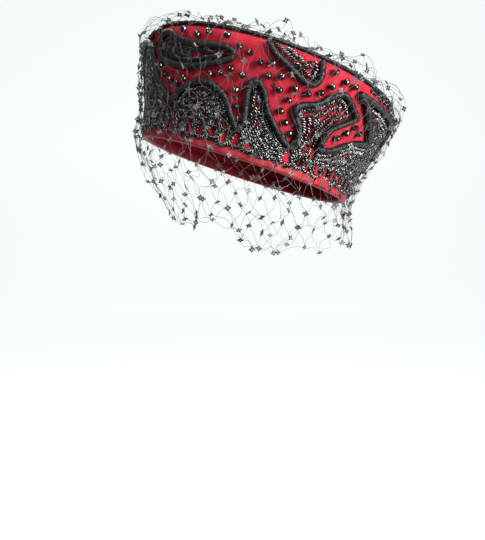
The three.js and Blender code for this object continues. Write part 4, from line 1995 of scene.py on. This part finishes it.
@dataclass
class Veil:
    """Loose layers of open net, with a star knot at most crossings."""

    # Strands: half their width, the points in each, and how they bow and wave.
    strand: float = 0.12
    bends: int = 9
    wave: float = 0.55
    wall_bow: Pair = (1.7, 3.4)
    tip_bow: Pair = (2.3, 2.3)
    # Rows of knots down the wall; they stray by degrees round and by mm down.
    around: int = 40
    row: float = 12.0
    corner_row: float = 86.0
    wall_rows: int = 14
    stray: Pair = (1.35, 2.6)
    # Knots over the tip, as far out as the run of its edge.
    tip_cell: float = 12.5
    tip_reach: float = 110.0
    tip_stray: float = 2.4
    tip_turn: float = 38.0
    tip_edge: float = 90.0
    # How the inner layer differs; away from the front it is shorter.
    inner_fewer: int = 8
    inner_turn: float = 0.37
    inner_drop: float = 3.1
    inner_short: float = 0.45
    inner_front: float = -7.0
    inner_spread: Pair = (35.0, 15.0)
    inner_tip_shift: Pair = (5.0, 4.0)
    inner_tip_turn: float = 24.0
    inner_puff: float = 0.7
    # The free fall below the rim; it drifts in, and most at the left.
    falls: tuple[FallRow, ...] = (
        FallRow(-180, 3), FallRow(-96, 4), FallRow(-82, 34), FallRow(-66, 60),
        FallRow(-45, 66), FallRow(-26, 58), FallRow(-10, 52), FallRow(6, 63),
        FallRow(16, 60), FallRow(32, 50), FallRow(50, 45), FallRow(86, 38),
        FallRow(100, 18), FallRow(114, 4), FallRow(180, 3),
    )
    fall_run: float = 1.0
    hem_spare: float = 2.0
    hem_fold: Ripple = Ripple(1.6, 17, 0.13)
    drift: Pair = (0.1, 0.5)
    # How far each layer stands off the felt, its folds and its puffs.
    slack: Pair = (7.2, 5.9)
    folds: tuple[Ripple, ...] = (
        Ripple(1.5, 12, 0.03, 1.2, 1), Ripple(0.9, 5, -0.05, 2),
        Ripple(0.7, 5, 0.17), Ripple(0.42, 23, 0.11, 0, 1),
    )
    edge_fold: Ripple = Ripple(1.4, 31, 0.3, 0, 2)
    edge_band: float = 12.0
    puffs: tuple[Puff, ...] = (
        Puff(-132, 12, 3.0), Puff(-44, 9, 3.2), Puff(3, 8, 3.6), Puff(39, 7, 8.5),
        Puff(63, 8, 6.0), Puff(110, 14, 3.0), Puff(165, 16, 3.5),
    )
    puff_drop: float = 13.0
    # The least that it stands off; each dip lowers the net and then that least.
    least: float = 5.6
    corner_band: float = 7.0
    corner_dip: Pair = (0.6, 2.0)
    right_bearing: float = 80.0
    right_band: float = 30.0
    right_dip: Pair = (0.9, 0.6)
    # Knots: the share kept on the front and back of the wall, by layer, and their pose.
    kept: Pair = (0.72, 0.36)
    thinned: Pair = (4.0, 6.0)
    facing: float = 0.33
    knot_turn: float = 22.0
    knot_lean: Pair = (1.5, 1.3)
    knot_size: Pair = (0.98, 0.16)
    star_radius: float = 2.45
    star_waist: float = 0.5
    star_hole: float = 0.46
    star_thick: float = 0.6

    def fall(self, bearing: Array) -> Array:
        """How far the veil hangs below the rim, in mm.

        Args:
            bearing: degrees round the hat.

        Returns:
            The length at each bearing.
        """
        bearing = (np.asarray(bearing, float) + 180) % 360 - 180
        starts = np.array([r.bearing for r in self.falls], float)
        lengths = np.array([r.length for r in self.falls], float)
        i = np.clip(np.searchsorted(starts, bearing, side="right") - 1, 0, len(starts) - 2)
        share = np.clip((bearing - starts[i]) / (starts[i + 1] - starts[i]), 0, 1)
        share = share * share * (3 - 2 * share)
        return lengths[i] + (lengths[i + 1] - lengths[i]) * share

    def puff(self, bearing: Array, down: Array, layer: int) -> Array:
        """How far the net stands off the felt, in mm.

        Args:
            bearing: degrees round the hat.
            down: mm down from the top edge.
            layer: 0 for the outer layer, 1 for the inner one.

        Returns:
            The lift at each place.
        """
        down = np.asarray(down, float)
        corner = np.exp(-(((down - 1) / self.corner_band) ** 2))
        edge = np.exp(-((down / self.edge_band) ** 2))
        right = np.exp(-(((np.asarray(bearing, float) - self.right_bearing) / self.right_band) ** 2))
        lift = self.slack[layer] + sum(fold.at(bearing, down, layer) for fold in self.folds)
        lift = lift + edge * self.edge_fold.at(bearing, down, layer)
        lift = lift - self.corner_dip[0] * corner - self.right_dip[0] * right
        least = self.least - self.corner_dip[1] * corner - self.right_dip[1] * right
        lift = np.maximum(lift, least)
        for puff in self.puffs:
            apart = (bearing - puff.bearing + 180) % 360 - 180
            near = np.exp(-((apart / puff.spread) ** 2) - (down / self.puff_drop) ** 2)
            lift = lift + puff.height * self.inner_puff**layer * near
        return lift

    def point(self, bearing: Array, run: Array, layer: int) -> Array:
        """A place on a layer of the net, in the hat's upright frame, in mm.

        Args:
            bearing: degrees round the hat.
            run: mm up the felt; the net hangs free below fall_run.
            layer: 0 for the outer layer, 1 for the inner one.

        Returns:
            The points.
        """
        bearing, run = np.asarray(bearing, float), np.asarray(run, float)
        lift = self.puff(bearing, FORM.run_corner - run, layer)
        top = FORM.above(bearing, np.maximum(run, self.fall_run), lift)
        below = np.maximum(self.fall_run - run, 0)
        to_hat = np.array(FORM.worn.to_3x3()).T
        down, left = to_hat @ (0, 0, -1), to_hat @ (-1, 0, 0)
        inward = unit(top * (-1, -1, 0))
        share = np.clip(below / np.maximum(self.fall(bearing), 1), 0, 1.2)
        drift = self.drift[0] + self.drift[1] * np.maximum(0, -(inward @ left))
        crumple = self.hem_fold.at(bearing, below)
        sway = (drift * share * below - crumple * np.minimum(share * 2, 1))[..., None] * inward
        return top + down * below[..., None] + sway

    def wall_knots(self, layer: int) -> tuple[Array, Array]:
        """Knots of the wall and the fall as rows of bearing and run.

        Args:
            layer: 0 for the outer layer, 1 for the inner one.

        Returns:
            Bearings and runs, as rows by columns; a run of nan has no knot.
        """
        count = self.around - self.inner_fewer * layer
        rows = np.arange(self.wall_rows)[:, None]
        columns = np.arange(count)[None]
        bearing = (columns + 0.5 * (rows % 2) + self.inner_turn * layer) * 360 / count
        run = self.corner_row - self.row * rows + np.zeros((1, count)) - self.inner_drop * layer
        n = rows * count + columns + 1000.0 * layer
        bearing = bearing + self.stray[0] * scatter(n)
        run = run + self.stray[1] * scatter(n + 0.3)
        aside = np.abs((bearing - self.inner_front + 180) % 360 - 180)
        start, band = self.inner_spread
        share = 1 - self.inner_short * layer * np.clip((aside - start) / band, 0, 1)
        hem = self.fall_run - self.fall(bearing) * share - self.hem_spare
        return bearing, np.where(run > hem, run, np.nan)

    def tip_knots(self, layer: int) -> Array:
        """Knots over the tip.

        Args:
            layer: 0 for the outer layer, 1 for the inner one.

        Returns:
            Their x and y, in mm, as a grid of pairs.
        """
        reach = int(self.tip_reach / self.tip_cell) + 1
        steps = np.arange(-reach, reach + 1)
        i, j = np.meshgrid(steps, steps, indexing="ij")
        n = (i * 40 + j + 2000.0 * layer).astype(float)
        shift = self.inner_tip_shift
        u = i * self.tip_cell + self.tip_stray * scatter(n) + shift[0] * layer
        v = j * self.tip_cell + self.tip_stray * scatter(n + 0.3) + shift[1] * layer
        turn = math.radians(self.tip_turn + self.inner_tip_turn * layer)
        x = u * math.cos(turn) - v * math.sin(turn)
        y = u * math.sin(turn) + v * math.cos(turn)
        return np.stack([x, y], -1)

    def polar(self, xy: Array) -> tuple[Array, Array]:
        """Bearing and run of places over the tip."""
        x, y = xy[..., 0], xy[..., 1] / FORM.oval
        return np.degrees(np.arctan2(x, -y)), FORM.run_centre - np.hypot(x, y)

    def bowed(self, a: Array, b: Array, seed: Array, reach: Sequence[float]) -> Array:
        """Parameters along strands that bow and wave between their knots.

        Args:
            a: each strand's start, as two parameters.
            b: each strand's end.
            seed: a number for each strand.
            reach: the most that a strand bows, in each parameter.

        Returns:
            Places along each strand.
        """
        t = np.linspace(0, 1, self.bends)[None, :, None]
        bow = np.stack([scatter(seed), scatter(seed + 0.6)], -1)[:, None] * reach
        wave = np.stack([scatter(seed + 0.3), scatter(seed + 0.8)], -1)[:, None] * reach
        line = a[:, None] + (b - a)[:, None] * t
        return line + bow * 4 * t * (1 - t) + self.wave * wave * np.sin(2 * np.pi * t)

    def wall_strands(self, layer: int) -> tuple[list[Array], Array]:
        """Strands of the wall and fall, and their knots.

        Args:
            layer: 0 for the outer layer, 1 for the inner one.

        Returns:
            Points along each strand, and the knots' bearing and run.
        """
        bearing, run = self.wall_knots(layer)
        rows, count = bearing.shape
        columns = np.arange(count)
        starts, ends = [], []
        for k in range(rows - 1):
            for shift in (0, 1):
                other = (columns + (shift if k % 2 else -shift)) % count
                a = np.stack([bearing[k], run[k]], 1)
                b = np.stack([bearing[k + 1][other], run[k + 1][other]], 1)
                b[:, 0] += np.round((a[:, 0] - b[:, 0]) / 360) * 360
                real = ~np.isnan(a[:, 1]) & ~np.isnan(b[:, 1])
                starts.append(a[real])
                ends.append(b[real])
        last = rows - 1 - np.argmax(~np.isnan(run[::-1]), axis=0)
        low = np.stack([bearing[last, columns], run[last, columns]], 1)
        after = np.roll(low, -1, axis=0)
        after[:, 0] += np.round((low[:, 0] - after[:, 0]) / 360) * 360
        starts.append(low)
        ends.append(after)
        a, b = np.vstack(starts), np.vstack(ends)
        seed = np.arange(len(a)) + 0.1 + 3000.0 * layer
        line = self.bowed(a, b, seed, self.wall_bow)
        points = self.point(line[..., 0].ravel(), line[..., 1].ravel(), layer)
        points = points.reshape(-1, self.bends, 3)
        knots = np.stack([bearing.ravel(), run.ravel()], 1)
        return list(points), knots[~np.isnan(knots[:, 1])]

    def tip_strands(self, layer: int) -> tuple[list[Array], Array]:
        """Strands over the tip, out to the wall's first row, and their knots.

        Args:
            layer: 0 for the outer layer, 1 for the inner one.

        Returns:
            Points along each strand, and the knots' bearing and run.
        """
        knots = self.tip_knots(layer)
        _, run = self.polar(knots)
        real = run > self.tip_edge
        starts, ends = [], []
        for di, dj in ((1, 0), (0, 1)):
            a = knots[: knots.shape[0] - di, : knots.shape[1] - dj]
            b = knots[di:, dj:]
            both = real[: knots.shape[0] - di, : knots.shape[1] - dj] & real[di:, dj:]
            starts.append(a[both])
            ends.append(b[both])
        bearing, wall_run = self.wall_knots(layer)
        first = FORM.on_felt(bearing[0], np.full(bearing.shape[1], FORM.run_corner))[:, :2]
        inner = knots[real]
        gap = np.linalg.norm(first[:, None] - inner[None], axis=2)
        starts.append(first)
        ends.append(inner[gap.argmin(1)])
        a, b = np.vstack(starts), np.vstack(ends)
        line = self.bowed(a, b, np.arange(len(a)) + 0.2 + 5000.0 * layer, self.tip_bow)
        where, height = self.polar(line)
        points = self.point(where.ravel(), height.ravel(), layer)
        points = points.reshape(-1, self.bends, 3)
        for k in range(len(first)):
            points[-len(first) + k, 0] = self.point(bearing[0, k], wall_run[0, k], layer)
        at, up = self.polar(inner)
        return list(points), np.stack([at, up], 1)

    def strands_mesh(self, name: str, lines: list[Array]) -> bpy.types.Object:
        """Sweeps every strand as one mesh.

        Args:
            name: the object's name.
            lines: points along each strand, in the hat's upright frame, in mm.

        Returns:
            The strands.
        """
        obj = swept_tubes(name, [worn_points(line) for line in lines], self.strand, 0)
        bpy.ops.object.shade_smooth()
        return obj

    def star(self) -> bpy.types.Object:
        """One open four-pointed knot about the origin, facing Z.

        Returns:
            The knot.
        """
        clear_selection()
        bpy.ops.mesh.primitive_circle_add(vertices=8, radius=self.star_radius * MM)
        obj = take_new("star_knot")
        bpy.ops.object.mode_set(mode="OBJECT")
        for k, vertex in enumerate(obj.data.vertices):
            vertex.select = k % 2 == 1
        for edge in obj.data.edges:
            edge.select = False
        bpy.ops.object.mode_set(mode="EDIT")
        bpy.context.tool_settings.mesh_select_mode = (True, False, False)
        waist, hole = self.star_waist, self.star_hole
        bpy.ops.transform.resize(value=(waist, waist, 1), center_override=(0, 0, 0))
        bpy.ops.mesh.select_all(action="SELECT")
        bpy.ops.mesh.extrude_region_move()
        bpy.ops.transform.resize(value=(hole, hole, 1), center_override=(0, 0, 0))
        bpy.ops.object.mode_set(mode="OBJECT")
        wall = obj.modifiers.new("thickness", "SOLIDIFY")
        wall.thickness = self.star_thick * MM
        wall.offset = 0
        apply_modifiers(obj)
        return obj

    def knots_mesh(self, name: str, knots: Array, layer: int) -> bpy.types.Object:
        """Sets a star at every knot as one mesh.

        Args:
            name: the object's name.
            knots: bearing and run of each.
            layer: 0 for the outer layer, 1 for the inner one.

        Returns:
            The stars.
        """
        n = np.arange(len(knots)) + 100.0 + 700 * layer
        low, high = self.thinned[0], FORM.run_corner - self.thinned[1]
        on_wall = (knots[:, 1] > low) & (knots[:, 1] < high)
        facing = np.abs(np.cos(np.radians(knots[:, 0] - 5))) > self.facing
        kept = ~(on_wall & facing) | (scatter(n + 0.45) < 2 * self.kept[layer] - 1)
        knots, n = knots[kept], n[kept]
        points = self.point(knots[:, 0], knots[:, 1], layer)
        near = self.point(knots[:, 0] + 0.7, knots[:, 1], layer)
        lower = self.point(knots[:, 0], knots[:, 1] - 1.0, layer)
        along, down = unit(near - points), unit(lower - points)
        up = unit(np.cross(down, along))
        turn = np.radians(self.knot_turn * scatter(n))[:, None]
        first = along * np.cos(turn) + np.cross(up, along) * np.sin(turn)
        lean = np.stack([scatter(n + 0.2), scatter(n + 0.6)], 1) * self.knot_lean
        third = unit(up + lean[:, :1] * first + lean[:, 1:] * down)
        sizes = self.knot_size[0] + self.knot_size[1] * scatter(n + 0.9)
        places = worn_places(points, square_axes(first, third), sizes)
        return joined_copies(name, self.star(), places, smooth=False)

    def build(self) -> list[bpy.types.Object]:
        """Makes both layers' strands and knots.

        Returns:
            The four meshes.
        """
        made = []
        for layer, name in enumerate(("outer", "inner")):
            wall, wall_knots = self.wall_strands(layer)
            tip, tip_knots = self.tip_strands(layer)
            strands = self.strands_mesh(f"veil_strands_{name}", wall + tip)
            finish_piece(strands, Finish.STRAND, ["veil"])
            knots = self.knots_mesh(f"veil_knots_{name}", np.vstack([wall_knots, tip_knots]), layer)
            finish_piece(knots, Finish.KNOT, ["veil"])
            made += [strands, knots]
        return made


# ---------------------------------------------------------------- the studio


@dataclass(frozen=True)
class Lamp:
    """A soft light: where it hangs and its width, in metres, its watts and its tint."""

    name: str
    place: Triple
    size: float
    power: float
    colour: Triple


@dataclass
class Studio:
    """White paper, soft light from the right and a level camera."""

    distance: float = 0.480
    shift: float = 0.0013
    drop: float = 0.0866
    lens: float = 36.65
    floor: float = -0.46
    paper_width: float = 6.4
    paper_middle: float = 3.35
    paper_height: float = 4.8
    paper_sweep: float = 2.0
    aim: Triple = (0, 0, 0.03)
    lamps: tuple[Lamp, ...] = (
        Lamp("key", (1.08, -1.07, 0.14), 0.6, 42, (1.0, 0.985, 0.96)),
        Lamp("bounce", (1.1, -1.05, -0.3), 0.9, 30, (1.0, 0.98, 0.95)),
        Lamp("ceiling", (-0.1, -0.8, 1.35), 0.8, 17, (0.97, 0.99, 1.0)),
        Lamp("window", (-1.0, -1.2, 0.35), 0.3, 7, (0.93, 0.97, 1.0)),
        Lamp("back", (-0.5, 1.1, 1.15), 0.6, 10, (1.0, 1.0, 1.0)),
    )

    def camera(self) -> None:
        """Sets up the camera."""
        data = bpy.data.cameras.new("camera")
        data.lens = self.lens
        data.sensor_width = 36
        data.clip_start = 0.01
        obj = bpy.data.objects.new("camera", data)
        bpy.context.scene.collection.objects.link(obj)
        obj.location = (-self.shift, -self.distance, -self.drop)
        obj.rotation_euler = (math.pi / 2, 0, 0)
        bpy.context.scene.camera = obj

    def paper(self) -> None:
        """Makes the seamless paper that the hat is shown before."""
        clear_selection()
        middle = (0, self.paper_middle, self.floor)
        bpy.ops.mesh.primitive_plane_add(size=self.paper_width, location=middle)
        obj = take_new("studio_paper")
        bpy.ops.object.mode_set(mode="OBJECT")
        for vertex in obj.data.vertices:
            vertex.select = vertex.co.y > 0
        for edge in obj.data.edges:
            edge.select = all(obj.data.vertices[i].co.y > 0 for i in edge.vertices)
        for face in obj.data.polygons:
            face.select = False
        bpy.ops.object.mode_set(mode="EDIT")
        bpy.context.tool_settings.mesh_select_mode = (False, True, False)
        bpy.ops.mesh.extrude_region_move(
            TRANSFORM_OT_translate={"value": (0, 0, self.paper_height)}
        )
        bpy.ops.object.mode_set(mode="OBJECT")
        bend = obj.modifiers.new("sweep", "BEVEL")
        bend.width = self.paper_sweep
        bend.segments = 16
        apply_modifiers(obj)
        settle(obj)
        bpy.ops.object.shade_smooth()
        obj.data.materials.append(Finish.PAPER.material)

    def light(self, lamp: Lamp) -> None:
        """Hangs one soft light that faces the hat.

        Args:
            lamp: the light's place, size, power and tint.
        """
        data = bpy.data.lights.new(lamp.name, "AREA")
        data.size = lamp.size
        data.energy = lamp.power
        data.color = lamp.colour
        obj = bpy.data.objects.new(lamp.name, data)
        bpy.context.scene.collection.objects.link(obj)
        obj.location = lamp.place
        towards = Vector(self.aim) - Vector(lamp.place)
        obj.rotation_euler = towards.to_track_quat("-Z", "Y").to_euler()

    def sky(self) -> None:
        """Fills the room with even white light."""
        world = bpy.data.worlds.new("studio_room")
        world.use_nodes = True
        shader = world.node_tree.nodes["Background"]
        shader.inputs["Color"].default_value = (0.95, 0.985, 1.0, 1)
        shader.inputs["Strength"].default_value = 0.16
        bpy.context.scene.world = world
        bpy.context.scene.view_settings.view_transform = "Standard"

    def build(self) -> None:
        """Sets the whole studio up."""
        self.camera()
        self.paper()
        self.sky()
        for lamp in self.lamps:
            self.light(lamp)


def main() -> None:
    """Builds the studio and every piece of the hat."""
    logging.basicConfig(level=logging.INFO, format="%(message)s")
    Studio().build()
    FeltBody().build()
    RimBinding().build()
    CordTrim().build()
    BeadRope().build()
    JetBeads().build()
    Veil().build()
    clear_selection()


if __name__ == "__main__":
    main()
